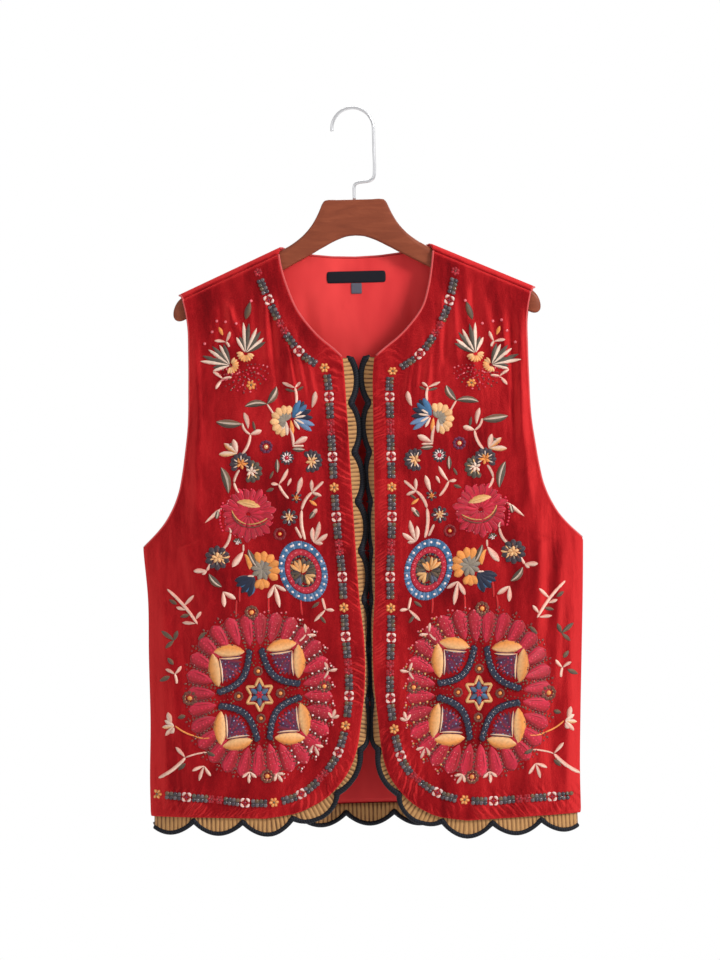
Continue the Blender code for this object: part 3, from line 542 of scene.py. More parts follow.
def shell(q, t):
    """Points of the cloth's outer face."""
    q, t = np.broadcast_arrays(np.asarray(q, float), np.asarray(t, float))
    sine = np.sin(q * math.pi / 2)
    drop = drop_of(t)
    half = np.full_like(drop, BODY["left"][0])
    for _ in range(4):
        low = crest_low(half * np.abs(sine)) + drop
        half = half_width(low, q)
    x = half * sine
    low = crest_low(np.abs(x)) + drop
    front = t >= 0
    depth = np.where(front, smooth(low, BODY["low"], BODY["front"]),
                     smooth(low, BODY["low"], BODY["back"]))
    round_side = np.sqrt(np.maximum(1.0 - np.abs(sine) ** 3, 0.0))
    ripple = np.where(front, folds(x, low, FRONT_FOLDS), folds(x, low, BACK_FOLDS))
    ripple = ripple * ease(1.0 - np.abs(sine) ** 6)
    fine = np.where(front, folds(x, low, FRONT_CREASES), folds(x, low, BACK_CREASES))
    fine = FINE_SHARE * fine * ease((1.0 - np.abs(sine)) * 12.0)
    hang = ease(np.abs(t) / HANG_OUT)
    over = CREST_RADIUS * np.sin(np.minimum(np.abs(t) / CREST_RADIUS, math.pi / 2))
    out = (1.0 - hang) * over + hang * (depth * round_side + ripple) + fine
    return np.stack([x, np.where(front, -out, out), -low], axis=-1)


def normal(q, t):
    """Unit normals of shell(), pointing out of the garment."""
    dq, dt = 1e-4, 1e-5
    across = shell(np.clip(q + dq, -1, 1), t) - shell(np.clip(q - dq, -1, 1), t)
    out = -np.cross(across, shell(q, t + dt) - shell(q, t - dt))
    return out / np.linalg.norm(out, axis=-1, keepdims=True)


def layer(q, t, sink):
    """The cloth's face moved inwards by sink."""
    return shell(q, t) - np.asarray(sink)[..., None] * normal(q, t)


def q_at(x, low):
    """The q of a point x from the middle at this height."""
    return np.arcsin(np.clip(x / half_width(low, x), -1.0, 1.0)) * 2 / math.pi


def t_at(x, low):
    """The distance along the cloth from the crest down to this height."""
    return along_of(np.maximum(low - crest_low(np.abs(x)), 0.0))


def hem_shift(low, side):
    """The hem hangs a little lower on the +X side."""
    return side * HEM_TILT * ease((low - HEM_TILT_FROM) / HEM_TILT_OVER)


print("a point of the chest:", np.round(shell(0.4, 0.15), 3))

# %% [markdown]
# A panel is a grid of (q, t) between its edges. Its columns and rows crowd together at the rim, and
# there the outer and inner faces run towards each other, which rounds the cut edge like a turned
# one. Two faces and a rim make a closed wall that can be weighed, printed or baked.


def add_piece(name, points, faces, finish, uv=None, colours=None):
    """A mesh object from whole arrays, riding on the part's one body."""
    mesh = bpy.data.meshes.new(name)
    mesh.from_pydata(points, [], faces)
    mesh.materials.append(finish)
    mesh.shade_smooth()
    corner_vertex = np.empty(len(mesh.loops), int)
    mesh.loops.foreach_get("vertex_index", corner_vertex)
    if uv is not None:
        chart = mesh.uv_layers.new(name="UVMap")
        chart.data.foreach_set("uv", uv[corner_vertex].astype(np.float32).ravel())
    if colours is not None:
        shade = mesh.color_attributes.new("thread", "FLOAT_COLOR", "POINT")
        shade.data.foreach_set("color", colours.astype(np.float32).ravel())
    piece = bpy.data.objects.new(name, mesh)
    bpy.context.scene.collection.objects.link(piece)
    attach(piece, "root")
    print(name, "-", len(points), "points,", len(mesh.loops) - 2 * len(mesh.polygons), "triangles")
    return piece


def grid_faces(rows, columns, first=0):
    """Quads of a grid whose points are numbered row by row from first."""
    corner = first + np.arange(rows * columns).reshape(rows, columns)
    return np.stack([corner[:-1, :-1], corner[:-1, 1:], corner[1:, 1:], corner[1:, :-1]], -1).reshape(-1, 4)


def add_wall(name, outer, inner, finish, uv=None):
    """A closed wall: the outer grid, the inner grid turned over, and a strip round the rim."""
    rows, columns = outer.shape[:2]
    count = rows * columns
    corner = np.arange(count).reshape(rows, columns)
    rim = np.concatenate([corner[0, :], corner[1:, -1], corner[-1, -2::-1], corner[-2:0:-1, 0]])
    after = np.roll(rim, -1)
    strip = np.stack([rim, rim + count, after + count, after], axis=-1)
    face = grid_faces(rows, columns)
    faces = np.concatenate([face, face[:, ::-1] + count, strip])
    points = np.concatenate([outer.reshape(-1, 3), inner.reshape(-1, 3)])
    edges = points[faces[: len(face)]]
    middle = edges.mean(axis=1)
    facing = np.cross(edges[:, 2] - edges[:, 0], edges[:, 3] - edges[:, 1])
    if (facing * (middle - inner.reshape(-1, 3)[face].mean(axis=1))).sum() < 0:
        faces = faces[:, ::-1]
    return add_piece(name, points, faces, finish, None if uv is None else np.concatenate([uv, uv]))


def add_tube(name, line, radius, finish, sides=10, facing=None):
    """A round tube carried along a line: at each point a ring in the plane across the line."""
    forward = np.gradient(line, axis=0)
    forward /= np.linalg.norm(forward, axis=-1, keepdims=True)
    if facing is None:
        facing = np.broadcast_to([0.0, 1.0, 0.0], line.shape)
    across = np.cross(forward, facing)
    across /= np.linalg.norm(across, axis=-1, keepdims=True)
    up = np.cross(across, forward)
    angle = np.arange(sides) * 2 * math.pi / sides
    ring = np.cos(angle)[None, :, None] * across[:, None] + np.sin(angle)[None, :, None] * up[:, None]
    radius = np.broadcast_to(radius, len(line))[:, None, None]
    points = (line[:, None] + radius * ring).reshape(-1, 3)
    corner = np.arange(len(points)).reshape(len(line), sides)
    after = np.roll(corner, -1, axis=1)
    quads = np.stack([corner[:-1], corner[1:], after[1:], after[:-1]], axis=-1).reshape(-1, 4)
    faces = quads.tolist() + [corner[0].tolist(), corner[-1, ::-1].tolist()]
    uv = np.stack([np.repeat(distances(line) / MM, sides), np.tile(angle, len(line))], axis=-1)
    return add_piece(name, points, faces, finish, uv)


LAST_RING, RING_BEFORE = 0.44, 0.12


def rim_sink(shape, wall):
    """How far the outer face sinks at the rim: nearly half the wall on the last ring, a little before."""
    ring = np.zeros(shape)
    ring[[1, -2], :] = ring[:, [1, -2]] = RING_BEFORE
    ring[[0, -1], :] = ring[:, [0, -1]] = LAST_RING
    return ring * wall


def crowded(count, rim):
    """Even places from 0 to 1 with one more close to each end."""
    inside = np.linspace(0.0, 1.0, count)[1:-1]
    return np.concatenate([[0.0, rim], inside, [1.0 - rim, 1.0]])


# %% [markdown]
# The embroidery is drawn on a flat chart in millimetres, x to the right of the middle and low below
# the hook. The chart is for the left front and the right front is its mirror, moved by the small
# amounts by which the two differ: SHIFT for the flowers, the front's own edge for the border. The
# border's path comes first, because its stitching gathers the velvet beside it.

# %% The embroidery's chart
BORDER = table("x low", [
    (-102, 164), (-97, 180), (-91, 195), (-85, 209), (-78, 223), (-70, 237), (-60, 250), (-48, 260),
    (-35, 267), (-32, 280), (-31, 296), (-30, 327), (-29, 357), (-28, 389), (-25, 445), (-22, 480),
    (-21, 514), (-20, 543), (-18, 575), (-18, 606), (-22, 634), (-30, 662), (-38, 676), (-48, 687),
    (-60, 699), (-76, 708), (-96, 713), (-127, 713), (-159, 709), (-187, 706), (-224, 702),
])
SHIFT = table("low x low_shift", [
    (150, 1.0, 3.0), (220, 4.0, 6.0), (260, 5.0, 6.0), (300, 5.0, 1.0), (480, 5.0, 1.0),
    (600, 6.0, 3.4), (640, 5.0, 5.0), (700, 2.0, 6.0), (720, 0.0, 6.0),
])
BORDER_GONE = distances(np.stack([BORDER["x"], BORDER["low"]], axis=-1))


def mirrored(x, low, edge):
    """The right front's place for a chart place, in chart millimetres; edge marks keep to the edge."""
    own = np.clip((inner_half(low * MM, 1) - inner_half(low * MM, -1)) / MM, -1.0, 8.0)
    moved = np.where(edge, own, np.interp(low, SHIFT["low"], SHIFT["x"]))
    down = np.interp(low, SHIFT["low"], SHIFT["low_shift"])
    at_hem = ease((low - 680.0) / 20.0) * edge
    hem = 2.0 + 7.0 * np.clip((np.abs(x) - 100.0) / 90.0, 0.0, 1.2)
    return moved - x, low + down * (1.0 - at_hem) + hem * at_hem


def beside_border(x, low):
    """Distance along the border's path and across it, towards the edge, of the nearest path point."""
    gone = np.linspace(0.0, BORDER_GONE[-1], 420)
    path = np.stack([smooth(gone, BORDER_GONE, BORDER["x"]), smooth(gone, BORDER_GONE, BORDER["low"])])
    apart = np.stack([x, low])[:, None] - path[..., None]
    nearest = np.hypot(*apart).argmin(axis=0)
    step = np.gradient(path, axis=1)[:, nearest]
    gap = np.stack([x, low]) - path[:, nearest]
    side = np.sign(step[1] * gap[0] - step[0] * gap[1])
    return gone[nearest], side * np.hypot(*gap)


print("border:", round(float(BORDER_GONE[-1])), "mm of path")

# %% [markdown]
# The two fronts. Their rows run from the armhole or side seam to the neck or centre edge, and the
# rounded lower corner is simply where the last rows end. The same grid gives the flat area that a
# cutter would need, summed from the outer face. Its UV map says how far along the border and how
# far from it each point lies, which is what the gathered velvet's wrinkles follow.

# %% The velvet fronts
def side_end(depth):
    """How near q comes to the side seam, so that two panels stay a seam's gap apart."""
    return 1.0 - SEAM_GAP / 2 / (depth * math.sqrt(3.0) * math.pi / math.sqrt(8.0))


FRONT_SIDE, BACK_SIDE = side_end(0.029), side_end(0.024)


def spread(u, start, end, widest):
    """Column places from start to end; columns bend less the further they are from the end."""
    return start + (widest - start) * u - (widest - end) * (u + u * u) / 2


def front_grid(side, u, v):
    """(q, t) of a front: u is 0 at the inner edge and 1 at the outer, v is 0 at the shoulder."""
    u, v = np.meshgrid(u, v)
    outer_low = np.interp(v, ROWS["v"], ROWS["outer"])
    inner_low = np.interp(v, ROWS["v"], ROWS["inner"])
    edge = smooth(outer_low, ARMHOLE["low"], ARMHOLE["half"])
    outer_sine = np.where(outer_low < UNDERARM_LOW, edge / half_width(outer_low, side + 0 * u), 1.0)
    outer_q = np.minimum(np.arcsin(np.minimum(outer_sine, 1.0)) * 2 / math.pi, FRONT_SIDE)
    inner_q = q_at(inner_half(inner_low, side), inner_low)
    q = spread(u, inner_q, outer_q, FRONT_SIDE)
    sine, inner_sine = np.sin(q * math.pi / 2), np.sin(inner_q * math.pi / 2)
    share = (sine - inner_sine) / (np.sin(outer_q * math.pi / 2) - inner_sine)
    low = inner_low + (outer_low - inner_low) * share
    low = low + hem_shift(low, side)
    t = t_at(half_width(low, side + 0 * u) * sine, low)
    t[0] = YOKE_FORWARD + SEAM_GAP
    return side * q, t


def area_of(points):
    """Area of a grid of points: half the length of the cross product of each cell's diagonals."""
    one, other = points[1:, 1:] - points[:-1, :-1], points[1:, :-1] - points[:-1, 1:]
    return float(np.linalg.norm(np.cross(one, other), axis=-1).sum() / 2)


SIDES = (-1, "left"), (1, "right")
FRONT_COLUMNS, FRONT_ROWS = crowded(112, 0.004), crowded(172, 0.0018)
BORDER_MOVED = {-1: (0.0, 0.0), 1: (4.0, -3.0)}
FRONT_EDGES = {}
for side, name in SIDES:
    q, t = front_grid(side, FRONT_COLUMNS, FRONT_ROWS)
    sink = rim_sink(q.shape, VELVET_WALL)
    outer = layer(q, t, sink)
    chart_x = -np.abs(outer[..., 0].ravel()) / MM + BORDER_MOVED[side][0]
    chart_low = -outer[..., 2].ravel() / MM + BORDER_MOVED[side][1]
    gathers = np.stack(beside_border(chart_x, chart_low), axis=-1)
    front = add_wall(f"velvet_front_{name}", outer, layer(q, t, VELVET_WALL - sink), gathered_velvet,
                     gathers)
    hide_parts(f"front_{name}")
    FRONT_EDGES[side] = (q, t)
    print("area", round(area_of(outer), 4), "square metres")

# %% [markdown]
# The back comes forward over the shoulder as a narrow yoke, so its grid starts in front, wraps
# round the crest in small steps and then hangs. Its rows lie closer under the arms, where the
# armhole runs into the side seam and long cells would be badly bent. The coral lining follows it on
# the inside, without the outermost rows and columns.

# %% The velvet back and its lining
def back_end(t):
    """The q of the back's armhole edge and side seam, by the distance down from the crest."""
    keys = along_of(ARMHOLE["low"] - crest_low(ARMHOLE["half"]))
    keys[0] = 0.0
    sine = smooth(np.abs(t), keys, ARMHOLE["half"]) / ARMHOLE["half"][-1]
    return np.minimum(np.arcsin(np.minimum(sine, 1.0)) * 2 / math.pi, BACK_SIDE)


def back_grid(half_u, v, wrap_rows=20, wrap_step=1.7 * MM):
    """(q, t) of the back: half_u goes from 0 at the middle to 1, v is 0 below the wrapped rows."""
    u = np.concatenate([-half_u[:0:-1], half_u])
    q_top = spread(np.abs(u), 0.0, back_end(0.0), BACK_SIDE)
    top = np.interp(half_width(0.19, u) * np.sin(q_top * math.pi / 2), BACK_TOP["half"], BACK_TOP["t"])
    wrap = np.arange(wrap_rows)[:, None]
    wrapped = np.minimum(top - 0.4 * MM * wrap, YOKE_FORWARD - wrap_step * wrap)
    low = HEM_LOW - BACK_HEM_RISE * (1.0 - u * u) + hem_shift(HEM_LOW, np.sign(u) * u * u)
    end = -t_at(half_width(low, u) * np.sin(np.abs(u) * math.pi / 2), low)
    t = np.concatenate([wrapped, wrapped[-1] + (end - wrapped[-1]) * v[:, None]])
    return np.sign(u) * spread(np.abs(u), 0.0, back_end(t), BACK_SIDE), t


def back_columns(count):
    """Column places of half the back: those of its neck edge, then even ones."""
    u = np.linspace(0.0, 1.0, 400)
    half = BODY["left"][0] * np.sin(spread(u, 0.0, back_end(0.0), BACK_SIDE) * math.pi / 2)
    halves = np.linspace(0.0, BACK_TOP["half"][-1], 26) ** 0.6 * BACK_TOP["half"][-1] ** 0.4
    neck = np.interp(halves, half, u)
    return np.concatenate([neck, np.linspace(neck[-1], 0.996, count)[1:], [1.0]])


UNDERARM_ROWS = np.linspace(0.34, 0.44, 61)
rows_above, rows_below = np.linspace(0.008, 0.34, 42)[:-1], np.linspace(0.44, 0.998, 68)[1:]
back_rows = np.concatenate([rows_above, UNDERARM_ROWS, rows_below, [1.0]])
q, t = back_grid(back_columns(34), back_rows)
sink = rim_sink(q.shape, VELVET_WALL)
outer = layer(q, t, sink)
back = add_wall("velvet_back", outer, layer(q, t, VELVET_WALL - sink), velvet)
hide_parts("back")
BACK_EDGES = q, t
print("area", round(area_of(outer), 4), "square metres")

q, t = q[3:-2, 2:-2], t[3:-2, 2:-2]
inside = VELVET_WALL + SEAM_GAP
lining = add_wall("lining", layer(q, t, inside), layer(q, t, inside + LINING_WALL), satin)
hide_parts("lining_back")

# %% [markdown]
# A bare black tape and a small grey tab are sewn to the lining below the neck. Their ends are
# folded under, which rounds them, and they follow the lining's own curve.

# %% Neck label and size tab
def add_label(name, cad_node, width, top_low, height, finish):
    """A strip of tape on the inside of the back, with softly rounded corners and turned edges."""
    u, v = np.meshgrid(np.linspace(-1.0, 1.0, 41), np.linspace(-1.0, 1.0, 13))
    corner_round = 1.0 - 0.04 * np.abs(u) ** 10 * np.abs(v) ** 4
    x = u * width / 2 * corner_round
    low = top_low + height / 2 * (1.0 + v * (1.0 - 0.05 * np.abs(u) ** 12))
    turned = 1.0 - np.maximum(np.abs(u) ** 14, np.abs(v) ** 8)
    back_face = VELVET_WALL + 2 * SEAM_GAP + LINING_WALL
    thick = (0.3 + 0.5 * turned) * MM
    q, t = q_at(x, low), -t_at(x, low)
    strip = add_wall(name, layer(q, t, back_face + 0 * x), layer(q, t, back_face + thick), finish)
    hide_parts(cad_node)
    return strip


LABELS = [add_label("tape_label", "neck_label", 61.0 * MM, 167.0 * MM, 12.0 * MM, tape),
          add_label("tape_tab", "size_tab", 11.0 * MM, 179.3 * MM, 11.0 * MM, grey_tape)]

# %% [markdown]
# The scalloped braid runs down each front edge, round the corner and along the hem. Its width is a
# power of a sine between narrow cusps. At the centre each braid is turned inwards just as far as its
# half of the gap allows, which is why the two edges meet in a row of small pointed windows. The cord
# is thicker there than along the hem and than in the solids, and it bunches up in the cusps. How
# much it swells was settled by looking.

# %% Braid and corded edge
SCALLOP, FIRST_CUSP = 0.0510, 0.0470
TRIM_AT_CUSP, TRIM_AT_PEAK, TRIM_UNDER = 2.0 * MM, 15.0 * MM, 5.0 * MM
TRIM_MIDDLE = VELVET_WALL + TRIM_GAP + TRIM_WALL / 2
TRIM_SIDE_INSET = 1.4 * MM
EDGING_RADIUS = 1.8 * MM
CORD_AT_HEM, CORD_AT_CENTRE, CUSP_REACH = 2.4 * MM, 3.9 * MM, 6.0 * MM
CENTRE_ENDS, CENTRE_FADE = 0.36, 0.06
SHORT_TONGUES, SHORT_PEAKS = (7, 8), (6.2 * MM, 11.8 * MM)
FLAT_FROM_LOW, FLAT_OVER = 0.640, 0.040


def edge_path(side, spacing=0.002):
    """(x, low, distance) along a front's centre edge, corner and hem."""
    low = np.concatenate([np.arange(NECK_CORNER_LOW, 0.70, spacing), np.linspace(0.70, CORNER_END_LOW, 60)])
    x = inner_half(low, side)
    hem_x = np.linspace(x[-1], half_width(HEM_LOW, side), 60)[1:]
    share = (hem_x - x[-1]) / (hem_x[-1] - x[-1])
    x = np.concatenate([x, hem_x])
    low = np.concatenate([low, CORNER_END_LOW + (HEM_LOW - CORNER_END_LOW) * share])
    low = low + hem_shift(low, side)
    return side * x, low, distances(np.stack([x, low], axis=-1))


def at_centre(distance):
    """1 along a front's centre edge, 0 past its corner."""
    return 1.0 - ease((distance - CENTRE_ENDS) / CENTRE_FADE)


def scallop_width(distance, front):
    """Width of the braid: a power of a sine between cusps, blunter at the centre; two tongues by a
    front's corner are shorter."""
    turns = (distance - FIRST_CUSP) / SCALLOP
    tongue = np.floor(turns + 1e-6)
    peak = np.where(tongue == SHORT_TONGUES[0], SHORT_PEAKS[0], TRIM_AT_PEAK)
    peak = np.where(tongue == SHORT_TONGUES[1], SHORT_PEAKS[1], peak) if front else TRIM_AT_PEAK
    power = 0.8 - 0.22 * at_centre(distance) * front
    return TRIM_AT_CUSP + (peak - TRIM_AT_CUSP) * np.abs(np.sin(math.pi * turns)) ** power


def trim_stations(length, steps):
    """Even stations that hit every cusp and peak."""
    step = SCALLOP / steps
    inside = np.arange(FIRST_CUSP - step * math.floor(FIRST_CUSP / step), length, step)
    keep = inside[(inside > step * 0.4) & (inside < length - step * 0.4)]
    return np.concatenate([[0.0], keep, [length]])


def beside(distance, width, gap):
    """The line that keeps this distance from the braid's edge, with its corners mitred."""
    step = np.stack([np.diff(distance), np.diff(width)], axis=-1)
    step /= np.linalg.norm(step, axis=-1, keepdims=True)
    away = np.stack([-step[:, 1], step[:, 0]], axis=-1)
    before, after = np.vstack([away[:1], away]), np.vstack([away, away[-1:]])
    both = (before + after) / (1.0 + (before * after).sum(axis=-1, keepdims=True))
    both[[0, -1], 0] = 0.0
    both[[0, -1], 1] = 1.0 / away[[0, -1], 1]
    return distance + gap * both[:, 0], width + gap * both[:, 1]


def lip_angle(side, low):
    """How far a front's braid turns inwards, so that it stops at the line where the fronts meet."""
    edge = smooth(low, CENTRE["low"], CENTRE["left" if side < 0 else "right"])
    room = edge - side * np.interp(low, CENTRE["low"], CENTRE["meet"]) - EDGING_RADIUS - SEAM_GAP
    turned = np.arccos(np.clip(room / (TRIM_AT_PEAK + SEAM_GAP + EDGING_RADIUS), 0.05, 1.0))
    return turned * (1.0 - ease((low - FLAT_FROM_LOW) / FLAT_OVER))


def trim_points(side, distance, reach, sink):
    """Points on a front's braid: reach is how far out from the velvet's edge, along the cloth."""
    x, low, gone = edge_path(side)
    x_edge, low_edge = np.interp(distance, gone, x), np.interp(distance, gone, low)
    step = 0.004
    to_x = np.interp(distance + step, gone, x) - np.interp(distance - step, gone, x)
    to_low = np.interp(distance + step, gone, low) - np.interp(distance - step, gone, low)
    size = np.hypot(to_x, to_low)
    out_x, out_low = -side * to_low / size, side * to_x / size
    turn = lip_angle(side, low_edge) * np.abs(out_x)
    lean = turn * np.clip(reach / MM + 0.5, 0.0, 1.0)
    thick = (sink - TRIM_MIDDLE) / np.cos(np.where(np.abs(reach) < 0.1 * MM, lean, 0.0))
    x_at = x_edge + out_x * (reach * np.where(reach > 0, np.cos(turn), 1.0) - thick * np.sin(lean))
    low_at = low_edge + out_low * reach
    points = layer(q_at(x_at, low_at), t_at(x_at, low_at), TRIM_MIDDLE + thick * np.cos(lean))
    points[..., 1] += np.maximum(reach, 0.0) * np.sin(turn)
    return points


def back_trim_points(distance, reach, sink):
    """Points on the back's braid, reach below the velvet's hem."""
    x = distance - half_width(HEM_LOW, -1.0) + TRIM_SIDE_INSET
    share = x / half_width(HEM_LOW, x)
    low = HEM_LOW - BACK_HEM_RISE * (1.0 - share * share) + reach
    low = low + hem_shift(HEM_LOW, np.sign(share) * share * share)
    return layer(q_at(x, low), -t_at(x, low), sink)


def add_trim(name, length, place):
    """A braid whose rows run from under the velvet to the scalloped edge, and the cord on that edge."""
    distance = trim_stations(length, 18)
    width = scallop_width(distance, name != "back")
    share = np.array([0.0, 0.03, 0.25, 0.5, 0.75, 0.97, 1.0])[:, None]
    rows = np.concatenate([np.full((1, len(width)), -TRIM_UNDER), share * width])
    along = np.broadcast_to(distance, rows.shape)
    half = TRIM_WALL / 2
    outer, inner = place(along, rows, TRIM_MIDDLE - half), place(along, rows, TRIM_MIDDLE + half)
    uv = np.stack([along / MM, rows / MM], axis=-1).reshape(-1, 2)
    band = add_wall(f"braid_{name}", outer, inner, braid, uv)
    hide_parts(f"trim_{name}")
    upright = at_centre(distance) * (name != "back")
    tucked = np.clip(1.0 - (width - TRIM_AT_CUSP) / CUSP_REACH, 0.0, 1.0)
    bunched = tucked * upright * np.clip((distance - 0.03) / 0.10, 0.0, 1.0)
    radius = CORD_AT_HEM + (CORD_AT_CENTRE - CORD_AT_HEM) * upright
    along, reach = beside(distance, width, SEAM_GAP + 2 * EDGING_RADIUS)
    along = along + (distance - along) * 0.5
    swell = 0.45 * (1.0 - 0.6 * upright) * tucked
    reach = reach - radius * (1.0 + swell - 0.18 * upright - 0.6 * bunched)
    radius = radius * (1.0 + swell + 0.4 * bunched)
    line = place(along, reach, TRIM_MIDDLE)
    facing = place(along, reach, TRIM_MIDDLE - MM) - line
    cord = add_tube(f"cord_{name}", line, radius, black_cord, 12, facing=facing)
    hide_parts(f"edging_{name}")
    return band, cord


for side, name in SIDES:
    def place(distance, reach, sink, side=side):
        return trim_points(side, distance, reach, sink)

    add_trim(name, edge_path(side)[2][-1] - TRIM_SIDE_INSET, place)
whole = half_width(HEM_LOW, np.array([-1.0, 1.0])).sum() - 2 * TRIM_SIDE_INSET
add_trim("back", whole, back_trim_points)

# %% [markdown]
# A thin paler roll of cloth binds the neck and the armholes. It is a tube along the panels' own
# edges: each path is one border row or column of the grids that made the cloth, kept as far as the
# neck's corner or the underarm.

# %% Bound edges
PIPING_RADIUS = 1.15 * MM
PAST_CORNER = 0.5 * MM


def rim_line(q, t):
    """The middle of the cloth's wall along a border of its grid."""
    return layer(q, t, np.full(q.shape, VELVET_WALL / 2))


for side, name in SIDES:
    q, t = FRONT_EDGES[side]
    for edge, column, ends, last_low in (("neck", 0, "inner", NECK_CORNER_LOW),
                                         ("armhole", -1, "outer", UNDERARM_LOW)):
        keep = np.interp(FRONT_ROWS, ROWS["v"], ROWS[ends]) < last_low + PAST_CORNER
        line = rim_line(q[keep, column], t[keep, column])
        bind = add_tube(f"binding_{edge}_{name}", line, PIPING_RADIUS, piping_red, 8)

q, t = BACK_EDGES
for column, name in ((0, "left"), (-1, "right")):
    line = rim_line(q[:, column], t[:, column])
    line = line[-line[:, 2] < UNDERARM_LOW + PAST_CORNER]
    bind = add_tube(f"binding_back_armhole_{name}", line, PIPING_RADIUS, piping_red, 8)
neck = t[0] < YOKE_FORWARD - 0.0001
bind = add_tube("binding_back_neck", rim_line(q[0, neck], t[0, neck]), PIPING_RADIUS, piping_red, 8)

# %% [markdown]
# The hanger's body is a stack of sections across it. Each section is a rounded bar: half round on
# top where the cloth lies, and with softened lower edges. The underside is one smooth arch.

# %% Hanger body
HANGER = table("x top bottom", [
    (0.0000, 0.0935, 0.1306), (0.0090, 0.0935, 0.1315), (0.0180, 0.0935, 0.1345), (0.0285, 0.0935, 0.1395),
    (0.0312, 0.0943, 0.1410), (0.0335, 0.0975, 0.1422), (0.0370, 0.1055, 0.1440),
    (0.0430, 0.1165, 0.1475), (0.0520, 0.1275, 0.1522), (0.0630, 0.1364, 0.1580),
    (0.0750, 0.1433, 0.1645), (0.0900, 0.1499, 0.1716), (0.1400, 0.1720, 0.1953),
    (0.1900, 0.1941, 0.2190),
])
HANGER_TIP, TIP_ROUND, BODY_HALF, EDGE_ROUND = 190.0 * MM, 11.0 * MM, 5.8 * MM, 2.5 * MM
ARM_FROM, UNDER_CREST = 75.0 * MM, 4.3 * MM
ROUND_FROM, ROUND_OVER = 40.0 * MM, 35.0 * MM


def hanger_rings():
    """Sections of the body: x across, and for each the outline of the bar, closed."""
    straight = HANGER_TIP - TIP_ROUND
    tip = straight + TIP_ROUND * np.sin(np.linspace(0.0, 0.47, 14)[1:] * math.pi)
    half = np.concatenate([np.linspace(0.0, straight, 96), tip])
    x = np.concatenate([-half[:0:-1], half])
    far = np.abs(x)
    top, bottom = smooth(far, HANGER["x"], HANGER["top"]), smooth(far, HANGER["x"], HANGER["bottom"])
    top = np.where(far > ARM_FROM, crest_low(far) + UNDER_CREST, top)
    past = np.clip((far - straight) / TIP_ROUND, 0.0, 0.995)
    shrink = np.sqrt(1.0 - past * past)[:, None]
    middle = top * 0.45 + bottom * 0.55
    top, bottom = middle + (top - middle) * shrink[:, 0], middle + (bottom - middle) * shrink[:, 0]
    arm = ease((far - ROUND_FROM) / ROUND_OVER)[:, None]
    over = (EDGE_ROUND + (BODY_HALF - EDGE_ROUND) * arm) * shrink
    under, thick = EDGE_ROUND * shrink, BODY_HALF * np.sqrt(shrink)
    turn = np.linspace(0.0, math.pi / 2, 7)
    y_half = np.concatenate([thick - over * (1.0 - np.sin(turn)), thick - under * (1.0 - np.cos(turn))], 1)
    low = np.concatenate([top[:, None] + over * (1.0 - np.cos(turn)),
                          bottom[:, None] - under * (1.0 - np.sin(turn))], 1)
    y = np.concatenate([y_half, -y_half[:, ::-1]], axis=1)
    low = np.concatenate([low, low[:, ::-1]], axis=1)
    return np.stack([np.broadcast_to(x[:, None], y.shape), y, -low], axis=-1)


rings = hanger_rings()
corner = np.arange(rings[..., 0].size).reshape(rings.shape[:2])
after = np.roll(corner, -1, axis=1)
sides_of_bar = np.stack([corner[:-1], after[:-1], after[1:], corner[1:]], axis=-1).reshape(-1, 4)
faces = sides_of_bar.tolist() + [corner[0, ::-1].tolist(), corner[-1].tolist()]
bar = add_piece("hanger_wood", rings.reshape(-1, 3), faces, wood)
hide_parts("hanger_body")

# %% [markdown]
# The hook is wire bent in one plane: a short stem, a crank to the side, an upright, and a bay that
# is a bit more than a half circle. A round profile is carried along that line.

# %% Hook
WIRE_RADIUS, HOOK_RADIUS = 1.6 * MM, 21.5 * MM
arc = np.radians(np.linspace(0.0, 186.0, 60))
bay = np.stack([HOOK_RADIUS * np.cos(arc), WIRE_RADIUS - HOOK_RADIUS * (1.0 - np.sin(arc))], axis=-1)
crank = np.array([
    (0.0000, -0.0932), (0.0000, -0.0840), (0.0002, -0.0800), (0.0016, -0.0774), (0.0044, -0.0762),
    (0.0110, -0.0752), (0.0165, -0.0743), (0.0196, -0.0724), (0.0211, -0.0690), (0.0215, -0.0640),
    (0.0215, -0.0420),
])
bend = np.concatenate([crank, bay[:1]])
gone = distances(bend)
even = np.linspace(0.0, gone[-1], 70)
bend = np.stack([smooth(even, gone, bend[:, 0]), smooth(even, gone, bend[:, 1])], axis=-1)
flat_line = np.concatenate([bend, bay[1:]])
line = np.stack([flat_line[:, 0], 0 * flat_line[:, 0], flat_line[:, 1]], axis=-1)
hook = add_tube("wire_hook", line, WIRE_RADIUS, wire, 16)
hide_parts("hanger_hook")

# %% [markdown]
# Now the embroidery. Everything in it is one of two things: a stitch, which is a padded band of
# thread from one point to another, or a knot. Motifs are drawn on a flat chart in millimetres, x to
# the right of the middle and low below the hook, and every number here is given for an ordinary
# flower, leaf or twig. The chart is for the left front; the right front is its mirror.

# %% Threads and the two kinds of mark
THREADS = {
    "cream": (248, 214, 192), "blush": (238, 170, 150), "peach": (250, 190, 130), "orange": (242, 152, 74),
    "gold": (216, 158, 92), "olive": (112, 84, 60), "moss": (88, 78, 66), "grey": (150, 136, 120),
    "slate": (92, 92, 110), "dark": (66, 54, 62), "navy": (30, 36, 60), "blue": (62, 108, 150),
    "pale_blue": (112, 140, 178), "purple": (104, 32, 70), "crimson": (180, 20, 40), "rose": (214, 36, 66),
    "pink": (232, 108, 118), "white": (248, 226, 220), "scarlet": (210, 32, 34), "brown": (120, 66, 50),
    "smoke": (104, 90, 92), "plum": (74, 30, 62), "maroon": (134, 26, 34),
}


def linear(code):
    """Screen values from 0 to 255 as the linear colour a shader wants."""
    return (np.array(code) / 255.0) ** 2.2


